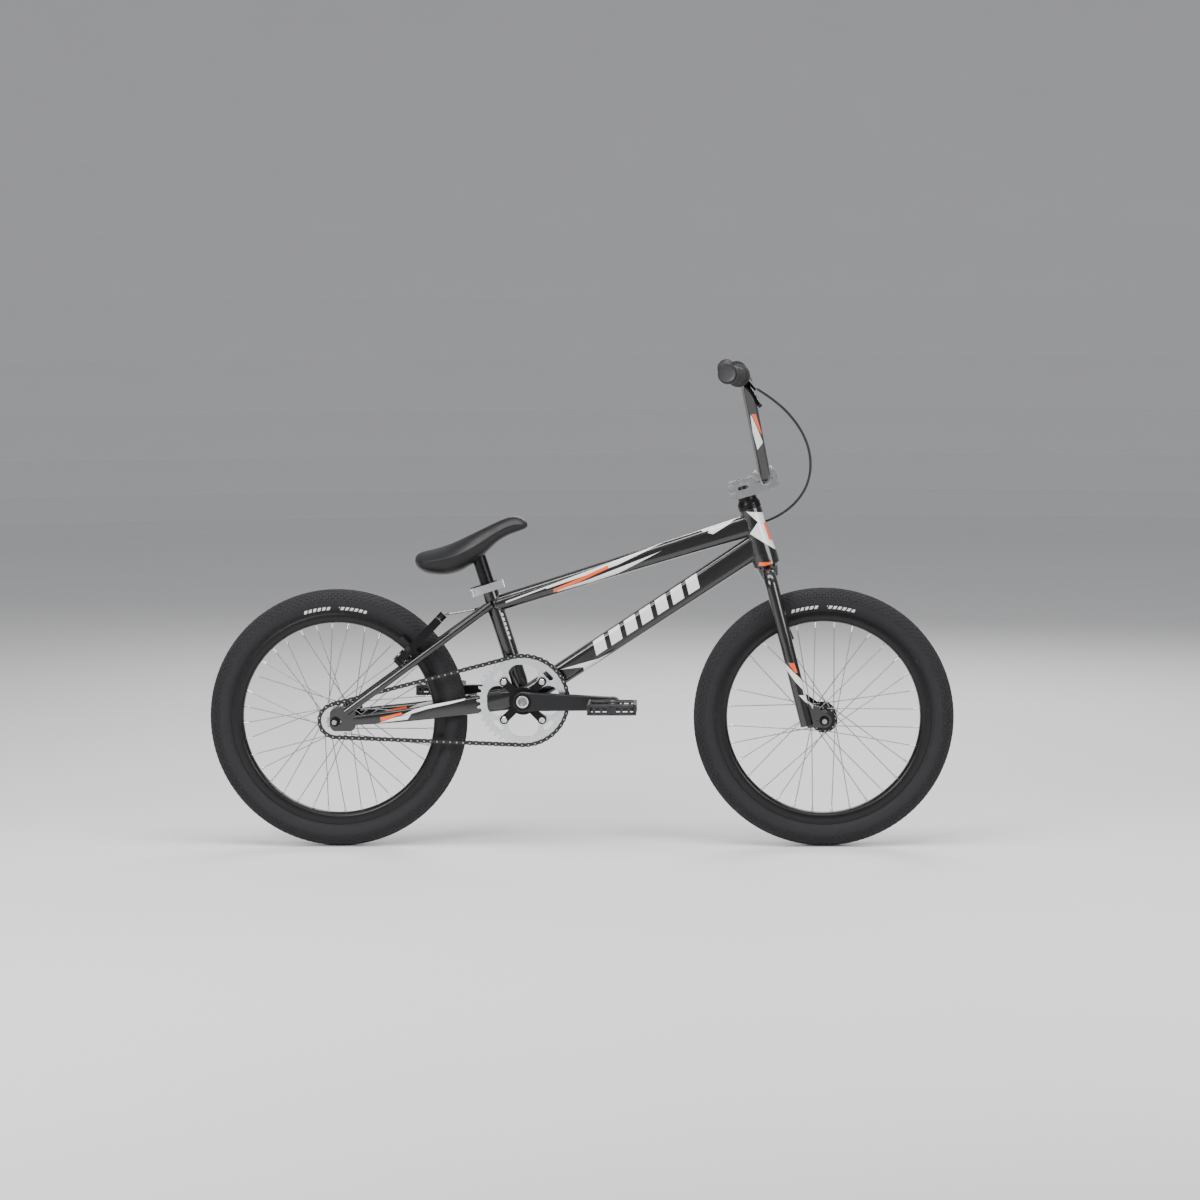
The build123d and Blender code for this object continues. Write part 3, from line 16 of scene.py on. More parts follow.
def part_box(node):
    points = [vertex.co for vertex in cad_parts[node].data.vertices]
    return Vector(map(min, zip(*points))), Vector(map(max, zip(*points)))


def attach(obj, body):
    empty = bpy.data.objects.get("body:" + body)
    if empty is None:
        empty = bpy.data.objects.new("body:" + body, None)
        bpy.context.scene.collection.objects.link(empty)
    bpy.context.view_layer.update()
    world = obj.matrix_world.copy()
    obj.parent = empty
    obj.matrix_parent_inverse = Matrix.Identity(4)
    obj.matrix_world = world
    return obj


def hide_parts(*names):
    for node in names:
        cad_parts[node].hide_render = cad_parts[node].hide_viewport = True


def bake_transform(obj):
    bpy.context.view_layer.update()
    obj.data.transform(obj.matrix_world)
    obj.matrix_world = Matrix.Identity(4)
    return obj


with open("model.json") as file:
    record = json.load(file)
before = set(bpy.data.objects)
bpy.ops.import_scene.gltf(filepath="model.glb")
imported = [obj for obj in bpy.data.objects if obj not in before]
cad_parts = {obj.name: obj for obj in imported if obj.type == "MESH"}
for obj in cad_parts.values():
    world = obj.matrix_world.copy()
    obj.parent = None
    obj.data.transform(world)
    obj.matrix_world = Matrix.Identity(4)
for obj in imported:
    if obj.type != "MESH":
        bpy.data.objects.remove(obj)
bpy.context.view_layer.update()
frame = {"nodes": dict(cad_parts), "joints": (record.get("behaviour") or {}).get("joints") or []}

LOG = logging.getLogger("bmx")
MM = 0.001
LEFT = Vector((0.0, 1.0, 0.0))
UP = Vector((0.0, 0.0, 1.0))
JOINTS = {joint["name"]: joint for joint in frame["joints"]}


def pivot(name: str) -> Vector:
    """Return the point that a joint turns about, in metres.

    Args:
        name: The joint's name.

    Returns:
        The joint's position in the row frame.
    """
    return Vector(JOINTS[name]["pos_m"])


FRONT_AXLE = pivot("front_wheel_spin")
REAR_AXLE = pivot("rear_wheel_spin")
BOTTOM_BRACKET = pivot("crank_spin")
STEER_FOOT = pivot("steering")
STEER_UP = Vector(JOINTS["steering"]["axis"])
STEER_FORWARD = Vector((STEER_UP.z, 0.0, -STEER_UP.x))
SEAT_UP = Vector(JOINTS["seatpost_slide"]["axis"])


# --- Shader expressions ---------------------------------------------------------------------
class Flow:
    """One number, vector or colour in a material, with arithmetic that adds Math nodes."""

    def __init__(self, tree: bpy.types.NodeTree, socket: bpy.types.NodeSocket) -> None:
        """Wrap an output socket of a node tree."""
        self.tree = tree
        self.socket = socket

    def math(self, operation: str, *others: Any) -> "Flow":
        """Return a Math node's result with this value as its first input.

        Args:
            operation: The Math node's operation.
            others: Up to two more inputs, as numbers or flows.

        Returns:
            The node's value.
        """
        node = self.tree.nodes.new("ShaderNodeMath")
        node.operation = operation
        self.tree.links.new(self.socket, node.inputs[0])
        for index, other in enumerate(others, 1):
            if isinstance(other, Flow):
                self.tree.links.new(other.socket, node.inputs[index])
            else:
                node.inputs[index].default_value = other
        return Flow(self.tree, node.outputs[0])

    def __add__(self, other: Any) -> "Flow":
        """Add."""
        return self.math("ADD", other)

    __radd__ = __add__

    def __mul__(self, other: Any) -> "Flow":
        """Multiply."""
        return self.math("MULTIPLY", other)

    __rmul__ = __mul__

    def __sub__(self, other: Any) -> "Flow":
        """Subtract."""
        return self.math("SUBTRACT", other)

    def __rsub__(self, other: float) -> "Flow":
        """Subtract this value from a number."""
        return self.math("MULTIPLY_ADD", -1.0, other)

    def __truediv__(self, other: float) -> "Flow":
        """Divide by a number."""
        return self.math("MULTIPLY", 1.0 / other)

    def clamped(self) -> "Flow":
        """Limit the value to 0..1."""
        return self.math("MAXIMUM", 0.0).math("MINIMUM", 1.0)

    def step(self, edge: float, soft: float) -> "Flow":
        """Rise from 0 to 1 across an edge.

        Args:
            edge: The value at the middle of the rise.
            soft: The width of the rise.

        Returns:
            A mask from 0 to 1.
        """
        return ((self - (edge - soft / 2)) / soft).clamped()


class Paintwork:
    """A material being built: one Principled shader and the nodes that feed it."""

    def __init__(self, name: str, **constants: Any) -> None:
        """Make the material and set its shader's constant inputs by name."""
        self.material = bpy.data.materials.new(name)
        self.material.use_nodes = True
        self.tree = self.material.node_tree
        self.shader = self.tree.nodes["Principled BSDF"]
        for key, value in constants.items():
            self.shader.inputs[key.replace("_", " ")].default_value = value

    @classmethod
    def reopened(cls, material: bpy.types.Material) -> "Paintwork":
        """Return a material's own nodes, to add more to them."""
        paint = cls.__new__(cls)
        paint.material = material
        paint.tree = material.node_tree
        paint.shader = paint.tree.nodes["Principled BSDF"]
        return paint

    def source(self, name: str) -> Flow:
        """Return what is linked to an input of the shader."""
        return Flow(self.tree, self.shader.inputs[name].links[0].from_socket)

    def node(self, kind: str, settings: dict[str, Any] | None = None, output: int | str = 0,
             **inputs: Any) -> Flow:
        """Add any node.

        Args:
            kind: The node's type.
            settings: Its properties; "ramp" holds a colour ramp's stops.
            output: The output socket wanted.
            inputs: Values or flows by input name, with "_" for a space.

        Returns:
            The chosen output.
        """
        node = self.tree.nodes.new(kind)
        for key, value in (settings or {}).items():
            if key == "ramp":
                ramp = node.color_ramp
                while len(ramp.elements) < len(value):
                    ramp.elements.new(0.5)
                for element, (place, shade) in zip(ramp.elements, value):
                    element.position = place
                    element.color = (shade, shade, shade, 1.0)
            else:
                setattr(node, key, value)
        for key, value in inputs.items():
            name = key.replace("_", " ")
            target = node.inputs[int(key[1:])] if key[0] == "n" and key[1:].isdigit() else node.inputs[name]
            if isinstance(value, Flow):
                self.tree.links.new(value.socket, target)
            else:
                target.default_value = value
        return Flow(self.tree, node.outputs[output])

    def place(self) -> Flow:
        """Return the Object coordinates."""
        return self.node("ShaderNodeTexCoord", output="Object")

    def along(self, direction: Sequence[float], origin: Sequence[float] = (0, 0, 0)) -> Flow:
        """Return the distance along a direction from an origin, in millimetres."""
        arrow = Vector(direction).normalized() / MM
        dot = self.node("ShaderNodeVectorMath", {"operation": "DOT_PRODUCT"}, "Value",
                        n0=self.place(), n1=tuple(arrow))
        return dot - arrow.dot(Vector(origin))

    def radius(self, centre: Vector, axis: Vector) -> Flow:
        """Return the distance from an axis in millimetres."""
        side = axis.orthogonal().normalized()
        other = axis.cross(side).normalized()
        one = self.along(side, centre)
        two = self.along(other, centre)
        return (one * one + two * two).math("SQRT")

    def noise(self, scale: float, detail: float = 2.0, rough: float = 0.5,
              stretch: Sequence[float] | None = None) -> Flow:
        """Return fractal noise; scale is in features per metre."""
        place = self.place()
        if stretch is not None:
            place = self.node("ShaderNodeMapping", {}, 0, n0=place, n3=tuple(stretch))
        return self.node("ShaderNodeTexNoise", {"noise_dimensions": "3D"}, "Fac", Vector=place,
                         Scale=scale, Detail=detail, Roughness=rough)

    def mix(self, mask: Flow, first: Any, second: Any) -> Flow:
        """Blend two colours by a mask."""
        node = self.tree.nodes.new("ShaderNodeMix")
        node.data_type = "RGBA"
        self.tree.links.new(mask.socket, node.inputs[0])
        for index, value in ((6, first), (7, second)):
            if isinstance(value, Flow):
                self.tree.links.new(value.socket, node.inputs[index])
            else:
                node.inputs[index].default_value = (*value, 1.0)
        return Flow(self.tree, node.outputs[2])

    def feed(self, name: str, flow: Flow) -> None:
        """Link a flow to an input of the shader."""
        self.tree.links.new(flow.socket, self.shader.inputs[name])

    def bump(self, height: Flow, strength: float, depth: float) -> None:
        """Turn a height into the surface's normal; depth is in metres."""
        self.feed("Normal", self.node("ShaderNodeBump", {}, 0, Height=height, Strength=strength,
                                      Distance=depth))


Colour = tuple[float, float, float]
BLACK: Colour = (0.0045, 0.0045, 0.005)
WHITE: Colour = (0.82, 0.82, 0.80)
ORANGE: Colour = (0.90, 0.105, 0.004)


@dataclass(frozen=True)
class Decal:
    """A flat convex patch of colour seen from the side, as corners (x, z) in millimetres."""

    corners: tuple[tuple[float, float], ...]
    colour: Colour = WHITE
    soft: float = 0.5

    def mask(self, paint: Paintwork, x: Flow, z: Flow) -> Flow:
        """Return 1 inside the patch, from the corners' half-planes."""
        corners = list(self.corners)
        area = sum(a[0] * b[1] - b[0] * a[1] for a, b in zip(corners, corners[1:] + corners[:1]))
        if area < 0:
            corners.reverse()
        inside: Flow | None = None
        for (ax, az), (bx, bz) in zip(corners, corners[1:] + corners[:1]):
            length = math.hypot(bx - ax, bz - az)
            nx, nz = -(bz - az) / length, (bx - ax) / length
            distance = x * nx + z * nz - (ax * nx + az * nz)
            inside = distance if inside is None else inside.math("MINIMUM", distance)
        return (inside / self.soft + 0.5).clamped()


def strip(points: Sequence[tuple[float, float]], height: float, colour: Colour) -> list[Decal]:
    """Return a thin band of patches along a line of points.

    Args:
        points: The band's middle line, as (x, z) in millimetres.
        height: The band's height.
        colour: Its colour.

    Returns:
        One patch for each stretch of the line.
    """
    half = height / 2
    return [Decal(((ax, az - half), (bx, bz - half), (bx, bz + half), (ax, az + half)), colour)
            for (ax, az), (bx, bz) in zip(points, points[1:])]


def slanted_blocks(start: tuple[float, float], end: tuple[float, float], height: float, count: int,
                   colour: Colour) -> list[Decal]:
    """Return a row of equal slanted blocks that runs between two points.

    Args:
        start: The row's lower rear corner, as (x, z) in millimetres.
        end: The row's lower front corner.
        height: The blocks' height, square to the row.
        count: The number of blocks.
        colour: Their colour.

    Returns:
        The blocks.
    """
    run = Vector((end[0] - start[0], end[1] - start[1]))
    along = run.normalized()
    up = Vector((-along.y, along.x)) * height + along * height * 0.35
    blocks = []
    for index in range(count):
        near = Vector(start) + run * (index / count)
        far = near + run * (0.70 / count)
        blocks.append(Decal((tuple(near), tuple(far), tuple(far + up), tuple(near + up)), colour))
    return blocks


# The transfers, as seen from the side: bands, wedges and plain blocks.
TOP_TUBE_DECALS = (
    Decal(((59, 561), (163, 595), (241, 616), (223, 626))),
    Decal(((223, 626), (241, 616), (291, 631), (306, 643))),
    Decal(((241, 616), (250, 614), (246, 603), (291, 631))),
    Decal(((-143, 479), (-64, 508), (-64, 511), (-143, 482))),
    Decal(((-64, 506), (12, 532), (12, 539), (-64, 511))),
    Decal(((12, 530), (76, 553), (163, 595), (12, 539))),
    Decal(((-43, 500), (16, 517), (16, 523), (-43, 503))),
    Decal(((16, 516), (76, 536), (159, 579), (16, 523))),
    *strip(((-50, 502), (4, 525), (57, 549)), 7.0, ORANGE),
)
DOWN_TUBE_DECALS = (
    *slanted_blocks((33, 376), (243, 514), 27.0, 7, WHITE),
    Decal(((-38, 349), (7, 354), (36, 370), (0, 360))),
    Decal(((7, 354), (9, 346), (61, 382), (36, 370))),
)
HEAD_TUBE_DECALS = (
    Decal(((324, 655), (358, 653), (362, 633), (345, 636))),
    Decal(((347, 636), (362, 634), (384, 579), (331, 612))),
    Decal(((357, 634), (366, 634), (377, 600), (368, 600)), ORANGE),
    Decal(((348, 557), (374, 558), (373, 551), (348, 550)), ORANGE),
)
SEAT_TUBE_DECALS = (
    *slanted_blocks((-133, 408), (-150, 462), 3.5, 6, (0.6, 0.6, 0.6)),
)
CHAINSTAY_DECALS = (
    Decal(((-389, 250), (-333, 256), (-326, 267), (-362, 259))),
    Decal(((-345, 264), (-326, 267), (-294, 276), (-321, 275))),
    Decal(((-321, 275), (-294, 276), (-250, 285), (-272, 288))),
    Decal(((-272, 288), (-250, 285), (-223, 292), (-220, 297))),
    Decal(((-386, 261), (-384, 253), (-343, 266), (-345, 270)), ORANGE),
)
FORK_DECALS = (
    Decal(((388, 375), (394, 361), (417, 330), (410, 352))),
    Decal(((410, 352), (417, 330), (431, 315), (437, 324), (426, 337))),
    Decal(((431, 315), (434, 304), (446, 301), (437, 324))),
    Decal(((424, 304), (437, 290), (448, 283), (446, 303))),
    Decal(((448, 300), (446, 284), (451, 276), (453, 286))),
    Decal(((404, 366), (415, 366), (422, 347), (416, 347)), ORANGE),
)
BAR_DECALS = (
    Decal(((331, 844), (336, 840), (347, 812), (356, 792), (345, 777), (336, 809))),
    Decal(((333, 846), (341, 846), (354, 806), (349, 812)), ORANGE),
)


# --- Finishes -------------------------------------------------------------------------------
@dataclass(frozen=True)
class Finish:
    """A surface treatment: its name, its material slot and its main colour."""

    name: str
    slot: str
    colour: Colour = BLACK

    def build(self) -> bpy.types.Material:
        """Return the finish's node material."""
        raise NotImplementedError


@dataclass(frozen=True)
class GlossPaint(Finish):
    """Sprayed gloss paint under clear lacquer, with flat transfers on its sides."""

    decals: tuple[Decal, ...] = ()
    side_edge: float = 6.0
    edge_centre: float = 0.0

    def build(self) -> bpy.types.Material:
        """Return the painted material, with transfers, flecks, lacquer ripple and light scuffs."""
        paint = Paintwork(self.name, Coat_Roughness=0.03, Specular_IOR_Level=0.5)
        x, y, z = paint.along((1, 0, 0)), paint.along((0, 1, 0)), paint.along((0, 0, 1))
        fleck = paint.noise(2600.0, 1.0).step(0.68, 0.10)
        lighter = tuple(channel + 0.02 for channel in self.colour)
        surface = paint.mix(fleck * 0.35, self.colour, lighter)
        side = (y - self.edge_centre).math("ABSOLUTE").step(self.side_edge, 1.0)
        ink_noise = paint.noise(500.0, 3.0) * 0.10
        for decal in self.decals:
            surface = paint.mix(decal.mask(paint, x, z) * side * (1.0 - ink_noise), surface, decal.colour)
        scuff = paint.noise(60.0, 8.0, 0.62, (1.0, 1.0, 2.2)).step(0.66, 0.12)
        paint.feed("Base Color", surface)
        paint.feed("Roughness", 0.17 + paint.noise(35.0, 4.0) * 0.08 + scuff * 0.12)
        paint.feed("Coat Weight", 0.75 - scuff * 0.35)
        paint.bump(paint.noise(420.0, 2.0), 0.05, 0.0004)
        return paint.material


@dataclass(frozen=True)
class Metal(Finish):
    """Bare, polished, plated or anodised metal with a brushed or cast grain."""

    roughness: float = 0.28
    metallic: float = 1.0
    grain: float = 500.0
    stretch: tuple[float, float, float] = (1.0, 1.0, 1.0)
    depth: float = 0.0001
    grime: float = 0.25

    def build(self) -> bpy.types.Material:
        """Return the metal, with its grain, tone drift and dull patches."""
        paint = Paintwork(self.name, Specular_IOR_Level=0.5)
        grain = paint.noise(self.grain, 3.0, 0.6, self.stretch)
        drift = paint.noise(24.0, 5.0, 0.6)
        dirt = paint.noise(140.0, 6.0, 0.6).step(0.62, 0.18) * self.grime
        dull = tuple(channel * 0.45 for channel in self.colour)
        darker = tuple(channel * 0.82 for channel in self.colour)
        paint.feed("Base Color", paint.mix(dirt, paint.mix(drift, self.colour, darker), dull))
        paint.feed("Metallic", self.metallic - dirt * 0.5)
        paint.feed("Roughness", (self.roughness - 0.05) + grain * 0.12 + dirt * 0.3)
        paint.bump(grain, 0.25, self.depth)
        return paint.material


@dataclass(frozen=True)
class SpiderMetal(Metal):
    """The right crank: satin arm outside a black spider."""

    split: float = -55.2

    def build(self) -> bpy.types.Material:
        """Return the satin metal, darkened inboard of the arm's inner face."""
        material = super().build()
        paint = Paintwork.reopened(material)
        base = paint.source("Base Color")
        inboard = paint.along((0, 1, 0)).step(self.split, 0.3)
        paint.feed("Base Color", paint.mix(inboard, base, BLACK))
        return material


@dataclass(frozen=True)
class SpokeSteel(Finish):
    """Stainless spokes with plated nipples at the rim."""

    centre: tuple[float, float, float] = (0.0, 0.0, 0.0)
    nipple_start: float = 176.0

    def build(self) -> bpy.types.Material:
        """Return dull steel that turns to bright brass plating past the nipple's start."""
        paint = Paintwork(self.name, Metallic=1.0)
        nipple = paint.radius(Vector(self.centre), LEFT).step(self.nipple_start, 0.4)
        grain = paint.noise(900.0, 2.0)
        paint.feed("Base Color", paint.mix(nipple, paint.mix(grain, self.colour, (0.30, 0.30, 0.31)),
                                           (0.80, 0.80, 0.79)))
        paint.feed("Roughness", 0.42 - nipple * 0.2 + grain * 0.08)
        paint.bump(grain, 0.1, 0.00005)
        return paint.material


@dataclass(frozen=True)
class TyreRubber(Finish):
    """Moulded tyre rubber with fine sidewall lines and plain slanted marks in two groups."""

    centre: tuple[float, float, float] = (0.0, 0.0, 0.0)
    mark_bearing: float = 90.5
    mark_spread: float = 16.5
    mark_gap: float = 2.2
    mark_inner: float = 213.6
    mark_outer: float = 220.0
    marks_per_turn: float = 150.0

    def build(self) -> bpy.types.Material:
        """Return the rubber, lighter where it is scuffed on the tread."""
        paint = Paintwork(self.name, Specular_IOR_Level=0.28)
        centre = Vector(self.centre)
        radius = paint.radius(centre, LEFT)
        x, z = paint.along((1, 0, 0), centre), paint.along((0, 0, 1), centre)
        mark_turn = math.radians(self.mark_bearing)
        ahead = x * math.cos(mark_turn) + z * math.sin(mark_turn)
        beside = z * math.cos(mark_turn) - x * math.sin(mark_turn)
        bearing = beside.math("ARCTAN2", ahead) * (180.0 / math.pi)
        band = radius.step(self.mark_inner, 0.5) * (1.0 - radius.step(self.mark_outer, 0.5))
        away = bearing.math("ABSOLUTE")
        group = away.step(self.mark_gap, 0.2) * (1.0 - away.step(self.mark_spread, 0.2))
        slant = bearing * (self.marks_per_turn / 360.0) + radius * 0.055
        dash = 1.0 - slant.math("FRACT").step(0.66, 0.06)
        side = paint.along((0, 1, 0)).math("ABSOLUTE").step(14.0, 0.5)
        tread = radius.step(246.0, 8.0)
        mottled = paint.noise(90.0, 6.0, 0.6)
        fine = paint.noise(1800.0, 2.0)
        rubber = paint.mix(mottled, self.colour, tuple(channel * 1.9 for channel in self.colour))
        dusty = paint.mix(tread * mottled * 0.6, rubber, (0.055, 0.055, 0.057))
        paint.feed("Base Color", paint.mix(band * group * dash * side, dusty, (0.70, 0.70, 0.70)))
        paint.feed("Roughness", 0.62 + fine * 0.14 + tread * 0.12)
        lines = (radius * 1.6).math("SINE").math("MULTIPLY", 0.4)
        paint.bump(lines * (1.0 - tread) + fine, 0.18, 0.0002)
        return paint.material


@dataclass(frozen=True)
class Moulding(Finish):
    """Moulded plastic or rubber with a fine stipple and handling marks."""

    roughness: float = 0.5
    stipple: float = 1400.0
    strength: float = 0.25
    depth: float = 0.00015
    polish: float = 0.10

    def build(self) -> bpy.types.Material:
        """Return the moulded material."""
        paint = Paintwork(self.name, Specular_IOR_Level=0.36)
        stipple = paint.noise(self.stipple, 2.0)
        drift = paint.noise(18.0, 4.0, 0.55)
        handled = paint.noise(70.0, 7.0, 0.62).step(0.60, 0.22)
        paler = tuple(channel * 1.3 + 0.002 for channel in self.colour)
        paint.feed("Base Color", paint.mix(drift * 0.7 + handled * 0.3, self.colour, paler))
        paint.feed("Roughness", self.roughness + stipple * 0.12 - handled * self.polish)
        paint.bump(stipple + handled * 0.3, self.strength, self.depth)
        return paint.material


@dataclass(frozen=True)
class StudioFloor(Finish):
    """A pale seamless floor."""

    def build(self) -> bpy.types.Material:
        """Return matt pale paper with a faint mottle."""
        paint = Paintwork(self.name, Specular_IOR_Level=0.2)
        mottle = paint.noise(3.0, 4.0)
        paint.feed("Base Color", paint.mix(mottle, self.colour, tuple(c * 0.97 for c in self.colour)))
        paint.feed("Roughness", 0.8 + mottle * 0.1)
        return paint.material


# --- Workshop -------------------------------------------------------------------------------
class Body(Enum):
    """The moving bodies that pieces ride on."""

    FRAME = "frame"
    FORK = "fork"
    FRONT_WHEEL = "front_wheel"
    REAR_WHEEL = "rear_wheel"
    FREEWHEEL = "freewheel"
    CRANK = "crank"
    PEDAL_RIGHT = "pedal_right"
    PEDAL_LEFT = "pedal_left"
    ARM_RIGHT = "brake_arm_right"
    ARM_LEFT = "brake_arm_left"
    LEVER = "brake_lever"
    SEAT_LEVER = "seat_lever"
    SEATPOST = "seatpost"


def on_steerer(height: float, forward: float = 0.0, across: float = 0.0) -> Vector:
    """Return a point from millimetres along, ahead of and beside the steering axis."""
    return STEER_FOOT + (STEER_UP * height + STEER_FORWARD * forward + LEFT * across) * MM


def on_seat_tube(height: float, forward: float = 0.0, across: float = 0.0) -> Vector:
    """Return a point from millimetres along, ahead of and beside the seat tube's axis."""
    ahead = Vector((SEAT_UP.z, 0.0, -SEAT_UP.x))
    return BOTTOM_BRACKET + (SEAT_UP * height + ahead * forward + LEFT * across) * MM


def polar(centre: Vector, radius: float, degrees: float, across: float = 0.0) -> Vector:
    """Return a point at a radius (mm) and angle round a cross axis, at a side distance (mm)."""
    turn = math.radians(degrees)
    return Vector((centre.x, 0.0, centre.z)) + Vector((math.cos(turn) * radius, across,
                                                       math.sin(turn) * radius)) * MM


def frame_of(direction: Vector, hint: Vector = UP) -> tuple[Vector, Vector]:
    """Return two unit directions square to a direction and to each other.

    Args:
        direction: The direction to be square to.
        hint: The second direction leans this way.

    Returns:
        A cross direction and an upward direction.
    """
    if abs(direction.normalized().dot(hint.normalized())) > 0.98:
        hint = Vector((1.0, 0.0, 0.0))
    cross = direction.cross(hint).normalized()
    return cross, cross.cross(direction).normalized()


def finish_piece(name: str, shape: bmesh.types.BMesh, finish: "Palette.Entry", body: Body,
                 replaced: Sequence[str] = (), sharp: float = 35.0, bevel: float = 0.0,
                 subdivisions: int = 0) -> bpy.types.Object:
    """Turn a shape into a finished piece that rides on a body.

    Args:
        name: The piece's name.
        shape: Its geometry in the row frame, which is used up.
        finish: The finish and material it wears.
        body: The body it rides on.
        replaced: The CAD nodes it stands for.
        sharp: Edges sharper than this many degrees stay crisp.
        bevel: The width of an edge bevel in millimetres, or 0.
        subdivisions: Levels of subdivision surface.

    Returns:
        The new object.
    """
    bmesh.ops.remove_doubles(shape, verts=shape.verts, dist=0.002 * MM)
    bmesh.ops.recalc_face_normals(shape, faces=shape.faces)
    limit = math.radians(sharp)
    for edge in shape.edges:
        edge.smooth = len(edge.link_faces) == 2 and edge.calc_face_angle(0.0) < limit
    for face in shape.faces:
        face.smooth = True
    mesh = bpy.data.meshes.new(name)
    shape.to_mesh(mesh)
    shape.free()
    piece = bpy.data.objects.new(name, mesh)
    bpy.context.scene.collection.objects.link(piece)
    dress(piece, finish)
    if bevel > 0.0:
        rounding = piece.modifiers.new("edge_rounding", "BEVEL")
        rounding.width = bevel * MM
        rounding.segments = 2
        rounding.limit_method = "ANGLE"
        rounding.angle_limit = limit
        rounding.use_clamp_overlap = True
        rounding.harden_normals = True
    if subdivisions:
        surface = piece.modifiers.new("smooth_surface", "SUBSURF")
        surface.levels = subdivisions
        surface.render_levels = subdivisions
    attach(piece, body.value)
    if replaced:
        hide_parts(*replaced)
    LOG.info("%s on %s: %d faces", name, body.value, len(mesh.polygons))
    return piece


def dress(piece: bpy.types.Object, entry: "Palette.Entry") -> None:
    """Put one finish on an object."""
    piece.data.materials.clear()
    piece.data.materials.append(entry.material)


def refine(node: str, entry: "Palette.Entry", body: Body, bevel: float = 0.5,
           sharp: float = 32.0) -> bpy.types.Object:
    """Stand a clean, edge-rounded copy in for a CAD node.

    Args:
        node: The CAD node.
        entry: The finish it wears.
        body: The body it rides on.
        bevel: The edge rounding in millimetres.
        sharp: The angle past which an edge is rounded.

    Returns:
        The new piece.
    """
    shape = bmesh.new()
    shape.from_mesh(frame["nodes"][node].data)
    bmesh.ops.remove_doubles(shape, verts=shape.verts, dist=0.004 * MM)
    bmesh.ops.dissolve_limit(shape, angle_limit=math.radians(0.6), verts=shape.verts,
                             edges=shape.edges)
    return finish_piece(f"{node}_piece", shape, entry, body, (node,), sharp, bevel)


def lathe(shape: bmesh.types.BMesh, outline: Iterable[tuple[float, float]], centre: Vector,
          axis: Vector = LEFT, steps: int = 48, closed: bool = False) -> None:
    """Spin an outline round an axis into a shape.

    Args:
        shape: The shape to add to.
        outline: Points as radius and distance along the axis, in millimetres.
        centre: The axis point at distance 0.
        axis: The axis direction.
        steps: Segments round the full turn.
        closed: True joins the outline's last point to its first.
    """
    axis = axis.normalized()
    outwards = frame_of(axis)[0]
    points = [shape.verts.new(centre + (outwards * radius + axis * along) * MM)
              for radius, along in outline]
    pairs = list(zip(points, points[1:]))
    if closed:
        pairs.append((points[-1], points[0]))
    edges = [shape.edges.new(pair) for pair in pairs]
    bmesh.ops.spin(shape, geom=points + edges, cent=centre, axis=axis, dvec=(0, 0, 0),
                   angle=2 * math.pi, steps=steps, use_merge=True, use_duplicate=False)


def block(shape: bmesh.types.BMesh, centre: Vector, size: Sequence[float],
          turn: Matrix | None = None) -> list[bmesh.types.BMVert]:
    """Add a box by its centre and its sizes in millimetres.

    Args:
        shape: The shape to add to.
        centre: The box's middle.
        size: Its three sizes in millimetres.
        turn: A rotation about its middle.

    Returns:
        The box's corners.
    """
    place = Matrix.Translation(centre) @ (turn or Matrix()).to_4x4()
    place = place @ Matrix.Diagonal((*[length * MM for length in size], 1.0))
    return bmesh.ops.create_cube(shape, size=1.0, matrix=place)["verts"]


def turned_to(direction: Vector) -> Matrix:
    """Return the rotation that takes Z to a direction."""
    return UP.rotation_difference(direction).to_matrix().to_4x4()


def peg(shape: bmesh.types.BMesh, start: Vector, direction: Vector, length: float, radius: float,
        sides: int = 16, tip: float | None = None) -> None:
    """Add a capped cylinder or cone.

    Args:
        shape: The shape to add to.
        start: The centre of its first end.
        direction: Its direction.
        length: Its length in millimetres.
        radius: Its first radius in millimetres.
        sides: Its number of sides.
        tip: Its second radius in millimetres, if that differs.
    """
    direction = direction.normalized()
    middle = start + direction * (length * MM / 2)
    bmesh.ops.create_cone(shape, cap_ends=True, cap_tris=False, segments=sides, radius1=radius * MM,
                          radius2=(radius if tip is None else tip) * MM, depth=length * MM,
                          matrix=Matrix.Translation(middle) @ turned_to(direction))


def socket_bolt(shape: bmesh.types.BMesh, seat: Vector, direction: Vector, radius: float,
                height: float) -> None:
    """Add a round bolt head with a hexagonal socket sunk in its end.

    Args:
        shape: The shape to add to.
        seat: The centre of the face it stands on.
        direction: The way its head points.
        radius: The head's radius in millimetres.
        height: The head's height in millimetres.
    """
    direction = direction.normalized()
    edge = 0.18 * radius
    outline = ((radius, 0.0), (radius, height - edge), (radius - edge, height), (0.56 * radius, height),
               (0.5 * radius, height - edge / 2), (0.5 * radius, 0.35 * height), (0.0, 0.3 * height))
    lathe(shape, outline, seat, direction, 18)


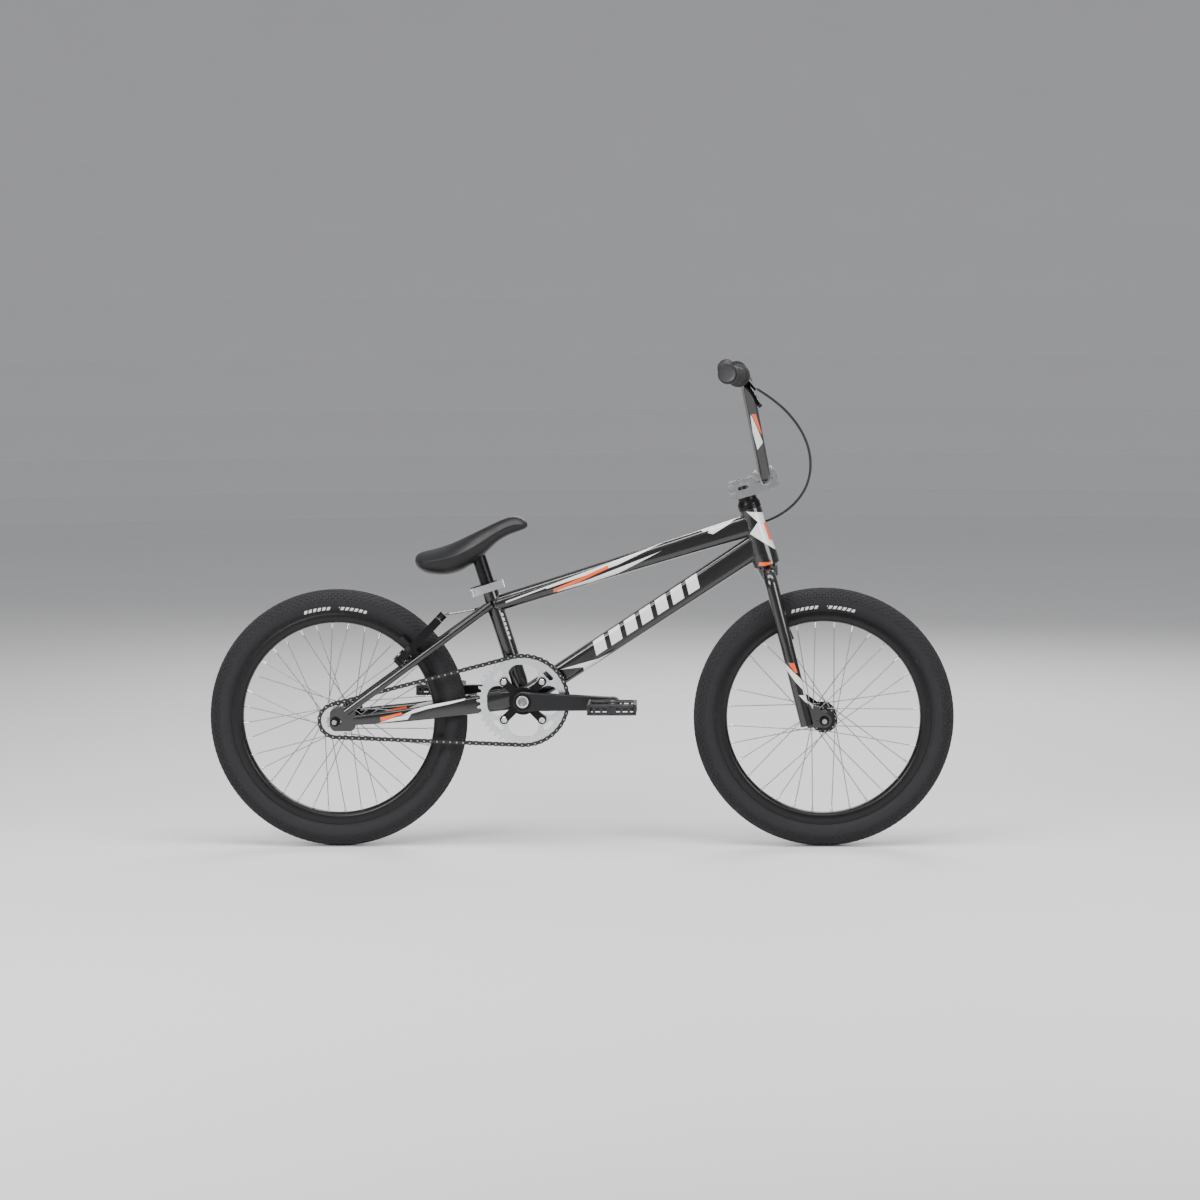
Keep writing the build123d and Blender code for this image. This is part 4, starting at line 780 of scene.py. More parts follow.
def cable_mesh(name: str, points: Sequence[Vector], radius: float, entry: "Palette.Entry",
               replaced: Sequence[str]) -> bpy.types.Object:
    """Make a cable's outer casing along a smooth curve, as a mesh that rides on nothing yet.

    Args:
        name: The piece's name.
        points: The route's control points, in metres.
        radius: The casing's radius in millimetres.
        entry: The finish it wears.
        replaced: The CAD nodes it stands for.

    Returns:
        The new object.
    """
    curve = bpy.data.curves.new(name, "CURVE")
    curve.dimensions = "3D"
    spline = curve.splines.new("NURBS")
    spline.points.add(len(points) - 1)
    for point, place in zip(spline.points, points):
        point.co = (*place, 1.0)
    spline.order_u = 3
    spline.use_endpoint_u = True
    spline.resolution_u = 10
    curve.bevel_depth = radius * MM
    curve.bevel_resolution = 4
    curve.use_fill_caps = True
    holder = bpy.data.objects.new(name + "_route", curve)
    mesh = bpy.data.meshes.new_from_object(holder)
    bpy.data.objects.remove(holder)
    shape = bmesh.new()
    shape.from_mesh(mesh)
    bmesh.ops.remove_doubles(shape, verts=shape.verts, dist=0.002 * MM)
    bmesh.ops.recalc_face_normals(shape, faces=shape.faces)
    for face in shape.faces:
        face.smooth = True
    shape.to_mesh(mesh)
    shape.free()
    mesh.name = name
    piece = bpy.data.objects.new(name, mesh)
    bpy.context.scene.collection.objects.link(piece)
    dress(piece, entry)
    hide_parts(*replaced)
    return piece


def surface_of(node: str) -> BVHTree:
    """Return a CAD node's surface for casting rays at."""
    mesh = frame["nodes"][node].data
    corners = [vertex.co.copy() for vertex in mesh.vertices]
    return BVHTree.FromPolygons(corners, [tuple(face.vertices) for face in mesh.polygons])


@dataclass
class WeldBead:
    """A rippled weld where a tube meets another piece."""

    tube: str
    target: str
    start: Vector
    direction: Vector
    thickness: float = 2.1
    count: int = 96
    ripples: int = 24
    reach: float = 90.0

    def add_to(self, shape: bmesh.types.BMesh) -> int:
        """Find the joint line by casting rays along the tube, and add the bead.

        Args:
            shape: The shape to add to.

        Returns:
            The number of points found on the joint line.
        """
        tube, target = surface_of(self.tube), surface_of(self.target)
        along = self.direction.normalized()
        cross, upward = frame_of(along)
        path: list[Vector] = []
        for index in range(self.count):
            turn = 2 * math.pi * index / self.count
            outwards = cross * math.cos(turn) + upward * math.sin(turn)
            skin = tube.ray_cast(self.start + outwards * self.reach * MM, -outwards)[0]
            if skin is None:
                continue
            hit = target.ray_cast(skin, along, self.reach * 1.5 * MM)[0]
            if hit is not None:
                path.append(hit)
        if len(path) < self.count * 0.6:
            return 0
        middle = sum(path, Vector()) / len(path)
        rings = []
        for index, here in enumerate(path):
            ahead = path[(index + 1) % len(path)] - path[index - 1]
            if ahead.length < 1e-7:
                continue
            side, top = frame_of(ahead.normalized(), here - middle)
            ripple = 1.0 + 0.16 * math.cos(2 * math.pi * self.ripples * index / len(path))
            radius = self.thickness * ripple * MM
            rings.append([shape.verts.new(here + (side * math.cos(a) + top * math.sin(a)) * radius)
                          for a in (2 * math.pi * step / 8 for step in range(8))])
        for ring, following in zip(rings, rings[1:] + rings[:1]):
            for step in range(8):
                shape.faces.new((ring[step], ring[(step + 1) % 8], following[(step + 1) % 8],
                                 following[step]))
        return len(path)


def frame_box(node: str) -> tuple[Vector, Vector]:
    """Return a CAD node's lowest and highest corners in metres."""
    low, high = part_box(node)
    return Vector(low), Vector(high)


ADJUSTER_HALF_LENGTH = 8.0


def adjuster_cap(low: Vector, high: Vector, outwards: Vector) -> Vector:
    """Return the centre of the cable adjuster's inner end.

    Args:
        low: The adjuster's lowest corner.
        high: The adjuster's highest corner.
        outwards: The bar's outward direction there.

    Returns:
        The middle of the face that the cable enters.
    """
    middle = (low + high) / 2
    outwards = outwards.normalized()
    return middle - outwards * ADJUSTER_HALF_LENGTH * MM


class Palette:
    """Every finish on the bike, built once."""

    @dataclass
    class Entry:
        """A built material and the slot that it belongs to."""

        material: bpy.types.Material
        slot: str

    def __init__(self) -> None:
        """Build each finish's material."""
        paint = "frame_paint"
        self.frame = self.entry(GlossPaint("gloss_black", paint))
        self.top_tube = self.entry(GlossPaint("top_tube_paint", paint, decals=TOP_TUBE_DECALS))
        self.down_tube = self.entry(GlossPaint("down_tube_paint", paint, decals=DOWN_TUBE_DECALS))
        self.head_tube = self.entry(GlossPaint("head_tube_paint", paint, decals=HEAD_TUBE_DECALS))
        self.seat_tube = self.entry(GlossPaint("seat_tube_paint", paint, decals=SEAT_TUBE_DECALS))
        self.chainstay = self.entry(GlossPaint("chainstay_paint", paint, decals=CHAINSTAY_DECALS))
        self.fork = self.entry(GlossPaint("fork_paint", paint, decals=FORK_DECALS, side_edge=56.0))
        self.bar = self.entry(GlossPaint("bar_paint", "black_alloy", decals=BAR_DECALS))
        self.bright = self.entry(Metal("polished_alloy", "bright_alloy", (0.80, 0.80, 0.82), 0.18))
        self.ring = self.entry(Metal("milled_chainring", "bright_alloy", (0.84, 0.85, 0.87), 0.26,
                                     grain=260.0, stretch=(1.0, 4.0, 1.0)))
        self.satin = self.entry(Metal("satin_grey_alloy", "black_alloy", (0.022, 0.022, 0.024), 0.38, 0.6,
                                      grain=900.0))
        self.crank = self.entry(SpiderMetal("crank_satin", "black_alloy", (0.022, 0.022, 0.024), 0.38,
                                            0.6, grain=900.0))
        self.black = self.entry(Metal("black_anodised", "black_alloy", (0.008, 0.008, 0.009), 0.28, 0.6,
                                      grain=700.0))
        self.steel = self.entry(Metal("zinc_steel", "steel", (0.46, 0.46, 0.47), 0.33, grime=0.4))
        self.chain = self.entry(Metal("oiled_chain", "steel", (0.060, 0.058, 0.056), 0.34, grime=0.7))
        self.rim = self.entry(Metal("black_rim", "black_alloy", (0.008, 0.008, 0.009), 0.30, 0.4,
                                    grain=400.0))
        self.front_spokes = self.entry(SpokeSteel("front_spoke_steel", "steel", (0.30, 0.30, 0.31),
                                                  tuple(FRONT_AXLE)))
        self.rear_spokes = self.entry(SpokeSteel("rear_spoke_steel", "steel", (0.30, 0.30, 0.31),
                                                 tuple(REAR_AXLE)))
        rubber = (0.011, 0.011, 0.012)
        self.front_tyre = self.entry(TyreRubber("front_tyre_rubber", "tyre_rubber", rubber,
                                                tuple(FRONT_AXLE)))
        self.rear_tyre = self.entry(TyreRubber("rear_tyre_rubber", "tyre_rubber", rubber,
                                               tuple(REAR_AXLE)))
        self.grip = self.entry(Moulding("grip_rubber", "soft_rubber", (0.020, 0.020, 0.021), 0.58))
        self.pad = self.entry(Moulding("pad_rubber", "soft_rubber", (0.012, 0.012, 0.012), 0.7))
        self.saddle = self.entry(Moulding("saddle_shell", "plastic", (0.006, 0.006, 0.007), 0.36,
                                          stipple=1100.0))
        self.pedal = self.entry(Moulding("pedal_nylon", "plastic", (0.024, 0.024, 0.026), 0.46,
                                         stipple=900.0))
        self.plug = self.entry(Moulding("plug_plastic", "plastic", (0.030, 0.030, 0.032), 0.40))
        self.cable = self.entry(Moulding("cable_casing", "cable_jacket", (0.016, 0.016, 0.017), 0.34,
                                         strength=0.1))

    @staticmethod
    def entry(finish: Finish) -> "Palette.Entry":
        """Build one finish."""
        return Palette.Entry(finish.build(), finish.slot)


# --- Wheels ---------------------------------------------------------------------------------
@dataclass
class Wheel:
    """A tyre with its tread, a rim, spokes, a hub and the axle with its nuts."""

    side: str
    body: Body
    centre: Vector
    tyre: Palette.Entry
    spokes: Palette.Entry
    palette: Palette
    casing_centre: float = 228.0
    casing_radius: float = 23.3
    wall: float = 2.6
    rim_edge: float = 209.6
    block_height: float = 1.75
    block_rows: tuple[float, ...] = (0.0, 13.0, 26.0, 39.0, 52.0, 65.0, 77.0)
    blocks_round: int = 132
    rim_outline: tuple[tuple[float, float], ...] = (
        (209.5, -13.0), (209.5, -11.3), (202.0, -11.2), (201.5, -8.0), (198.0, 0.0), (201.5, 8.0),
        (202.0, 11.2), (209.5, 11.3), (209.5, 13.0), (206.5, 12.6), (205.5, 13.0), (194.5, 13.0),
        (191.0, 11.6), (187.4, 6.0), (187.0, 0.0), (187.4, -6.0), (191.0, -11.6), (194.5, -13.0),
        (205.5, -13.0), (206.5, -12.6),
    )

    def casing_outline(self) -> list[tuple[float, float]]:
        """Return the tyre's section, with a raised rib above the rim and one below the tread."""
        outline = []
        foot = math.degrees(math.asin((self.rim_edge - self.casing_centre) / self.casing_radius))
        steps = 64
        for index in range(steps + 1):
            turn = foot + (180.0 - 2 * foot) * index / steps
            level = min(turn, 180.0 - turn)
            rib = 0.5 * math.exp(-((level + 30.0) / 3.2) ** 2) + 0.35 * math.exp(-((level - 4.0) / 2.2) ** 2)
            radius = self.casing_radius + rib
            outline.append((self.casing_centre + radius * math.sin(math.radians(turn)),
                            radius * math.cos(math.radians(turn))))
        inner = self.casing_radius - self.wall
        for index in range(steps // 3 + 1):
            turn = 180.0 - foot - (180.0 - 2 * foot) * index / (steps // 3)
            outline.append((max(self.rim_edge, self.casing_centre + inner * math.sin(math.radians(turn))),
                            inner * math.cos(math.radians(turn))))
        return outline

    def add_tread(self, shape: bmesh.types.BMesh) -> None:
        """Add rows of small tapered blocks, each row half a step round from the next."""
        step = 360.0 / self.blocks_round
        for row, lean in enumerate(self.block_rows):
            for side in ((1,) if lean == 0.0 else (-1, 1)):
                section = math.radians(lean) * side
                outwards = Vector((0.0, math.sin(section), math.cos(section)))
                middle = Vector((self.centre.x, 0.0, self.centre.z + self.casing_centre * MM))
                middle += outwards * ((self.casing_radius + self.block_height / 2 - 0.35) * MM)
                turn = Matrix.Rotation(-section, 4, "X")
                corners = block(shape, middle, (6.6 if row % 2 else 7.4, 3.6, self.block_height), turn)
                top = [vertex for vertex in corners if (vertex.co - middle).dot(outwards) > 0]
                bmesh.ops.scale(shape, vec=(0.78, 0.74, 1.0), verts=top,
                                space=Matrix.Translation(-middle))
                start = math.radians(step / 2 * (row % 2))
                bmesh.ops.rotate(shape, cent=self.centre, verts=corners,
                                 matrix=Matrix.Rotation(start, 3, "Y"))
                faces = {face for vertex in corners for face in vertex.link_faces}
                bmesh.ops.spin(shape, geom=list(faces) + corners, cent=self.centre, axis=LEFT,
                               dvec=(0, 0, 0), angle=2 * math.pi - math.radians(step),
                               steps=self.blocks_round - 1, use_merge=False, use_duplicate=True)

    def build(self) -> None:
        """Build the wheel's pieces."""
        casing = bmesh.new()
        lathe(casing, self.casing_outline(), self.centre, steps=144, closed=True)
        finish_piece(f"{self.side}_tyre_casing", casing, self.tyre, self.body, (f"{self.side}_tyre",))
        tread = bmesh.new()
        self.add_tread(tread)
        finish_piece(f"{self.side}_tyre_tread", tread, self.tyre, self.body, sharp=20.0)
        rim = bmesh.new()
        lathe(rim, self.rim_outline, self.centre, steps=144, closed=True)
        finish_piece(f"{self.side}_rim_hoop", rim, self.palette.rim, self.body, (f"{self.side}_rim",),
                     sharp=50.0)
        dress(frame["nodes"][f"{self.side}_spokes"], self.spokes)
        dress(frame["nodes"][f"{self.side}_inner_tube"], self.palette.pad)
        refine(f"{self.side}_hub", self.palette.satin, self.body, 0.4)
        refine(f"{self.side}_axle", self.palette.steel, Body.FRAME if self.side == "rear" else Body.FORK,
               0.4)
        refine(f"{self.side}_axle_nuts", self.palette.black,
               Body.FRAME if self.side == "rear" else Body.FORK, 0.5)


# --- Drive ----------------------------------------------------------------------------------
@dataclass
class Drive:
    """The chain, both sprockets, the cranks and the pedals."""

    palette: Palette
    ring_teeth: int = 43
    cog_teeth: int = 16
    links: int = 88
    pitch: float = 12.7
    chain_line: float = -46.5
    plate_radius: float = 4.1
    plate_waist: float = 3.1
    plate_thickness: float = 0.95
    inner_offset: float = 1.95
    outer_offset: float = 3.0
    roller_radius: float = 3.0
    pin_radius: float = 1.7
    crank_face: float = 71.0
    pedal_inner: float = 77.0
    pedal_width: float = 90.0
    pedal_length: float = 94.0
    pedal_height: float = 19.0

    def joints(self) -> list[Vector]:
        """Return the chain's roller centres, from the top of the ring forwards and round."""
        ring, cog = (self.pitch / (2 * math.sin(math.pi / teeth)) for teeth in (self.ring_teeth,
                                                                                self.cog_teeth))
        line = (BOTTOM_BRACKET - REAR_AXLE) / MM
        distance = math.hypot(line.x, line.z)
        tilt = math.degrees(math.asin(line.z / distance))
        lean = math.degrees(math.asin((ring - cog) / distance))
        run = math.sqrt(distance**2 - (ring - cog) ** 2)
        ring_wrap = math.radians(180 + 2 * lean) * ring
        cog_wrap = math.radians(180 - 2 * lean) * cog
        top, bottom = tilt + 90 + lean, tilt - 90 - lean
        lower = polar(BOTTOM_BRACKET, ring, bottom), polar(REAR_AXLE, cog, bottom)
        upper = polar(REAR_AXLE, cog, top), polar(BOTTOM_BRACKET, ring, top)
        length = 2 * run + ring_wrap + cog_wrap
        points = []
        for link in range(self.links):
            travel = (link + 0.5) * length / self.links
            if travel < ring_wrap:
                point = polar(BOTTOM_BRACKET, ring, top - math.degrees(travel / ring))
            elif travel < ring_wrap + run:
                point = lower[0].lerp(lower[1], (travel - ring_wrap) / run)
            elif travel < ring_wrap + run + cog_wrap:
                point = polar(REAR_AXLE, cog, bottom - math.degrees((travel - ring_wrap - run) / cog))
            else:
                point = upper[0].lerp(upper[1], (travel - ring_wrap - run - cog_wrap) / run)
            points.append(point + LEFT * self.chain_line * MM)
        return points

    def add_plate(self, shape: bmesh.types.BMesh, start: Vector, end: Vector, offset: float) -> None:
        """Add one waisted side plate between two rollers."""
        along = (end - start).normalized()
        up = along.cross(LEFT)
        middle = (start + end) / 2
        corners = []
        for centre, turn_start in ((end, -90.0), (start, 90.0)):
            for step in range(5):
                turn = math.radians(turn_start + step * 45.0)
                reach = along * math.cos(turn) + up * math.sin(turn)
                corners.append(centre + reach * self.plate_radius * MM)
            side = 1 if centre is end else -1
            corners.append(middle + up * side * self.plate_waist * MM)
        shift = LEFT * (offset - self.plate_thickness / 2) * MM
        face = shape.faces.new([shape.verts.new(corner + shift) for corner in corners])
        grown = bmesh.ops.extrude_face_region(shape, geom=[face], use_keep_orig=True)["geom"]
        bmesh.ops.translate(shape, vec=LEFT * self.plate_thickness * MM,
                            verts=[item for item in grown if isinstance(item, bmesh.types.BMVert)])

    def build_chain(self) -> None:
        """Build the chain: alternate inner and outer plates, rollers and riveted pins."""
        points = self.joints()
        plates, rollers = bmesh.new(), bmesh.new()
        for index, here in enumerate(points):
            following = points[(index + 1) % len(points)]
            offset = self.inner_offset if index % 2 else self.outer_offset
            for side in (-1, 1):
                self.add_plate(plates, here, following, side * offset)
            peg(rollers, here - LEFT * self.inner_offset * 0.7 * MM, LEFT, self.inner_offset * 1.4,
                self.roller_radius, 10)
            reach = self.outer_offset + self.plate_thickness / 2 + 0.2
            peg(rollers, here - LEFT * reach * MM, LEFT, 2 * reach, self.pin_radius, 8)
        finish_piece("chain_plates", plates, self.palette.chain, Body.FRAME, ("chain",), sharp=30.0)
        finish_piece("chain_rollers", rollers, self.palette.steel, Body.FRAME)

    def build_pedal(self, side: int, name: str, body: Body) -> None:
        """Build one cage pedal: two open rails, end bars, a barrel on the axle and grip pins."""
        direction = (Vector(JOINTS["pedal_right_spin"]["pos_m"]) - BOTTOM_BRACKET)
        direction.y = 0.0
        centre = BOTTOM_BRACKET - direction * side
        middle = centre + LEFT * side * (self.pedal_inner + self.pedal_width / 2) * MM
        half_long, half_wide, bar = self.pedal_length / 2, self.pedal_width / 2, 3.2
        cage = bmesh.new()
        for height in (-1, 1):
            level = UP * height * (self.pedal_height - bar) / 2 * MM
            for rail in (-1, 1):
                block(cage, middle + level + LEFT * rail * (half_wide - 3.0) * MM,
                      (self.pedal_length - 12.0, 6.0, bar))
                block(cage, middle + level + Vector((rail * (half_long - 3.0) * MM, 0, 0)),
                      (6.0, self.pedal_width - 12.0, bar))
                for corner in (-1, 1):
                    block(cage, middle + level + Vector((rail * (half_long - 7.0), corner * (half_wide - 7.0),
                                                         0)) * MM,
                          (5.0, 13.0, bar), Matrix.Rotation(math.radians(45.0 * rail * corner), 4, "Z"))
            for cross in (-22.0, 22.0):
                block(cage, middle + level + LEFT * cross * MM, (self.pedal_length - 8.0, 5.0, bar))
        for along in (-half_long + 3.0, -33.0, -19.0, 19.0, 33.0, half_long - 3.0):
            for across in (-1, 1):
                inset = 9.0 if abs(along) > 40.0 else 3.0
                block(cage, middle + Vector((along, across * (half_wide - inset), 0.0)) * MM,
                      (5.0, 5.0, self.pedal_height - 0.4))
        for across in (-22.0, 0.0, 22.0):
            for end in (-1, 1):
                block(cage, middle + Vector((end * (half_long - 3.0), across, 0.0)) * MM,
                      (5.0, 5.0, self.pedal_height - 0.4))
        finish_piece(f"{name}_cage", cage, self.palette.pedal, body, (name,), sharp=30.0, bevel=0.7)
        barrel = bmesh.new()
        outline = ((4.6, 0.0), (9.0, 0.0), (9.4, 1.0), (9.4, 12.0), (7.6, 16.0), (7.4, 74.0), (9.4, 78.0),
                   (9.4, self.pedal_width - 1.0), (8.4, self.pedal_width), (5.5, self.pedal_width),
                   (5.0, self.pedal_width - 1.5), (0.0, self.pedal_width - 1.5))
        lathe(barrel, outline, centre + LEFT * side * self.pedal_inner * MM, LEFT * side, 32)
        for end in (-1, 1):
            for across in (-22.0, 22.0):
                block(barrel, middle + Vector((end * 25.0, across, 0.0)) * MM, (38.0, 6.0, 7.0))
        finish_piece(f"{name}_barrel", barrel, self.palette.pedal, body, sharp=35.0)
        pins = bmesh.new()
        for end in (-1, 1):
            for across in (-27.0, -9.0, 9.0, 27.0):
                foot = middle + Vector((end * (half_long - 4.0), across, -self.pedal_height / 2 - 2.4)) * MM
                peg(pins, foot, UP, self.pedal_height + 4.8, 1.6, 10)
        finish_piece(f"{name}_pins", pins, self.palette.steel, body)

    def build(self) -> None:
        """Build the drive."""
        self.build_chain()
        refine("chainring", self.palette.ring, Body.CRANK, 0.35)
        refine("freewheel_cog", self.palette.bright, Body.FREEWHEEL, 0.3)
        refine("crank_arm_right", self.palette.crank, Body.CRANK, 0.9)
        refine("crank_arm_left", self.palette.satin, Body.CRANK, 0.9)
        refine("crank_spindle", self.palette.bright, Body.CRANK, 0.6)
        refine("bottom_bracket_bearings", self.palette.black, Body.FRAME, 0.5)
        bolts = bmesh.new()
        for quarter in range(4):
            seat = polar(BOTTOM_BRACKET, 52.0, 45.0 + 90.0 * quarter, -55.0)
            socket_bolt(bolts, seat, -LEFT, 6.0, 1.6)
            peg(bolts, seat, LEFT, 9.9, 4.0, 18)
            peg(bolts, seat + LEFT * 9.9 * MM, LEFT, 1.6, 6.0, 18)
        finish_piece("chainring_bolt_set", bolts, self.palette.bright, Body.CRANK, ("chainring_bolts",))
        for side in (-1, 1):
            collar = bmesh.new()
            face = BOTTOM_BRACKET + LEFT * side * (self.crank_face - 0.2) * MM
            lathe(collar, ((12.05, 0.0), (16.8, 0.0), (17.2, 0.4), (16.8, 0.9), (12.6, 0.9), (12.05, 0.5)),
                  face, LEFT * side, 40, True)
            finish_piece(f"crank_boss_ring_{'right' if side < 0 else 'left'}", collar, self.palette.black,
                         Body.CRANK)
        dress(frame["nodes"]["pedal_axles"], self.palette.steel)
        self.build_pedal(-1, "pedal_right", Body.PEDAL_RIGHT)
        self.build_pedal(1, "pedal_left", Body.PEDAL_LEFT)


# --- Frame ----------------------------------------------------------------------------------
@dataclass
class FrameSet:
    """The welded frame, its beads, dropouts, bridges and tensioners."""

    palette: Palette
    top_tube_rear: float = 191.0
    head_top: float = 430.0
    top_tube_drop: float = 30.0
    down_tube_drop: float = 69.0

    def beads(self) -> list[WeldBead]:
        """Return the welds where the tubes meet."""
        rear, front = on_seat_tube(self.top_tube_rear), on_steerer(self.head_top - self.top_tube_drop)
        top_run = (front - rear).normalized()
        head_end = on_steerer(self.head_top - self.down_tube_drop)
        down_run = (head_end - BOTTOM_BRACKET).normalized()
        return [
            WeldBead("top_tube", "head_tube", front - top_run * 0.050, top_run),
            WeldBead("top_tube", "seat_tube", rear + top_run * 0.045, -top_run, reach=60.0),
            WeldBead("down_tube", "head_tube", head_end - down_run * 0.085, down_run, ripples=30),
            WeldBead("down_tube", "bottom_bracket_shell", BOTTOM_BRACKET + down_run * 0.060, -down_run),
            WeldBead("seat_tube", "bottom_bracket_shell", on_seat_tube(60.0), -SEAT_UP, ripples=18),
        ]

    def build(self) -> None:
        """Build the frame's pieces."""
        for node, entry in (("top_tube", self.palette.top_tube), ("down_tube", self.palette.down_tube),
                            ("head_tube", self.palette.head_tube), ("seat_tube", self.palette.seat_tube),
                            ("chainstays", self.palette.chainstay), ("seat_stays", self.palette.frame),
                            ("stay_bridges", self.palette.frame),
                            ("bottom_bracket_shell", self.palette.frame)):
            refine(node, entry, Body.FRAME, 0.5)
        refine("rear_dropouts", self.palette.frame, Body.FRAME, 0.9)
        refine("chain_tensioners", self.palette.steel, Body.FRAME, 0.6)
        welds = bmesh.new()
        for bead in self.beads():
            LOG.info("weld %s to %s: %d points", bead.tube, bead.target, bead.add_to(welds))
        finish_piece("weld_beads", welds, self.palette.frame, Body.FRAME, sharp=80.0)


# --- Seat -----------------------------------------------------------------------------------
@dataclass
class Seat:
    """The moulded saddle on its post and the quick-release clamp."""

    palette: Palette
    saddle_height: float = 285.0
    stations: tuple[tuple[float, float, float, float, float], ...] = (
        (-124.0, 6.0, -8.0, 26.0, 0.55), (-119.0, 11.5, -17.0, 43.0, 0.60),
        (-106.0, 16.5, -27.0, 55.0, 0.62), (-84.0, 21.0, -31.0, 61.0, 0.62),
        (-58.0, 29.0, -31.0, 59.0, 0.60), (-34.0, 40.0, -24.5, 50.0, 0.58),
        (-12.0, 50.5, -9.5, 38.0, 0.56), (10.0, 61.0, 6.0, 29.0, 0.54), (32.0, 71.5, 31.0, 24.0, 0.52),
        (54.0, 81.0, 45.0, 21.5, 0.50), (72.0, 84.5, 51.5, 19.5, 0.50), (86.0, 80.0, 56.5, 16.0, 0.50),
        (95.0, 70.5, 61.0, 9.0, 0.50),
    )
    sides: int = 20

    def add_saddle(self, shape: bmesh.types.BMesh) -> None:
        """Add the saddle: a crowned top over drawn-in sides, lofted through its stations."""
        origin = on_seat_tube(self.saddle_height)
        rings = []
        for along, top, bottom, half, shoulder in self.stations:
            ring = []
            edge = bottom + (top - bottom) * shoulder
            for index in range(self.sides):
                turn = 2 * math.pi * index / self.sides
                across, rise = half * math.cos(turn), math.sin(turn)
                height = edge + (top - edge) * rise ** 2
                if rise < -1e-6:
                    across = half * math.copysign(abs(math.cos(turn)) ** 0.75, math.cos(turn))
                    across *= 1.0 - 0.18 * abs(rise)
                    height = edge - (edge - bottom) * abs(rise) ** 0.75
                ring.append(shape.verts.new(origin + Vector((along, across, height)) * MM))
            rings.append(ring)
        for ring, following in zip(rings, rings[1:]):
            for step in range(self.sides):
                other = (step + 1) % self.sides
                shape.faces.new((ring[step], ring[other], following[other], following[step]))
        shape.faces.new(rings[0])
        shape.faces.new(rings[-1])
        crease = shape.edges.layers.float.new("crease_edge")
        for ring, following in zip(rings[1:], rings[2:]):
            for step in (0, self.sides // 2):
                edge = shape.edges.get((ring[step], following[step]))
                if edge is not None:
                    edge[crease] = 0.95

    def build(self) -> None:
        """Build the seat's pieces."""
        saddle = bmesh.new()
        self.add_saddle(saddle)
        finish_piece("saddle_shell", saddle, self.palette.saddle, Body.SEATPOST, ("saddle",), sharp=80.0,
                     subdivisions=2)
        refine("seatpost", self.palette.black, Body.SEATPOST, 0.5)
        refine("seat_clamp_collar", self.palette.black, Body.FRAME, 0.7)
        refine("seat_clamp_skewer", self.palette.bright, Body.FRAME, 0.5)
        refine("seat_clamp_lever", self.palette.bright, Body.SEAT_LEVER, 0.9)


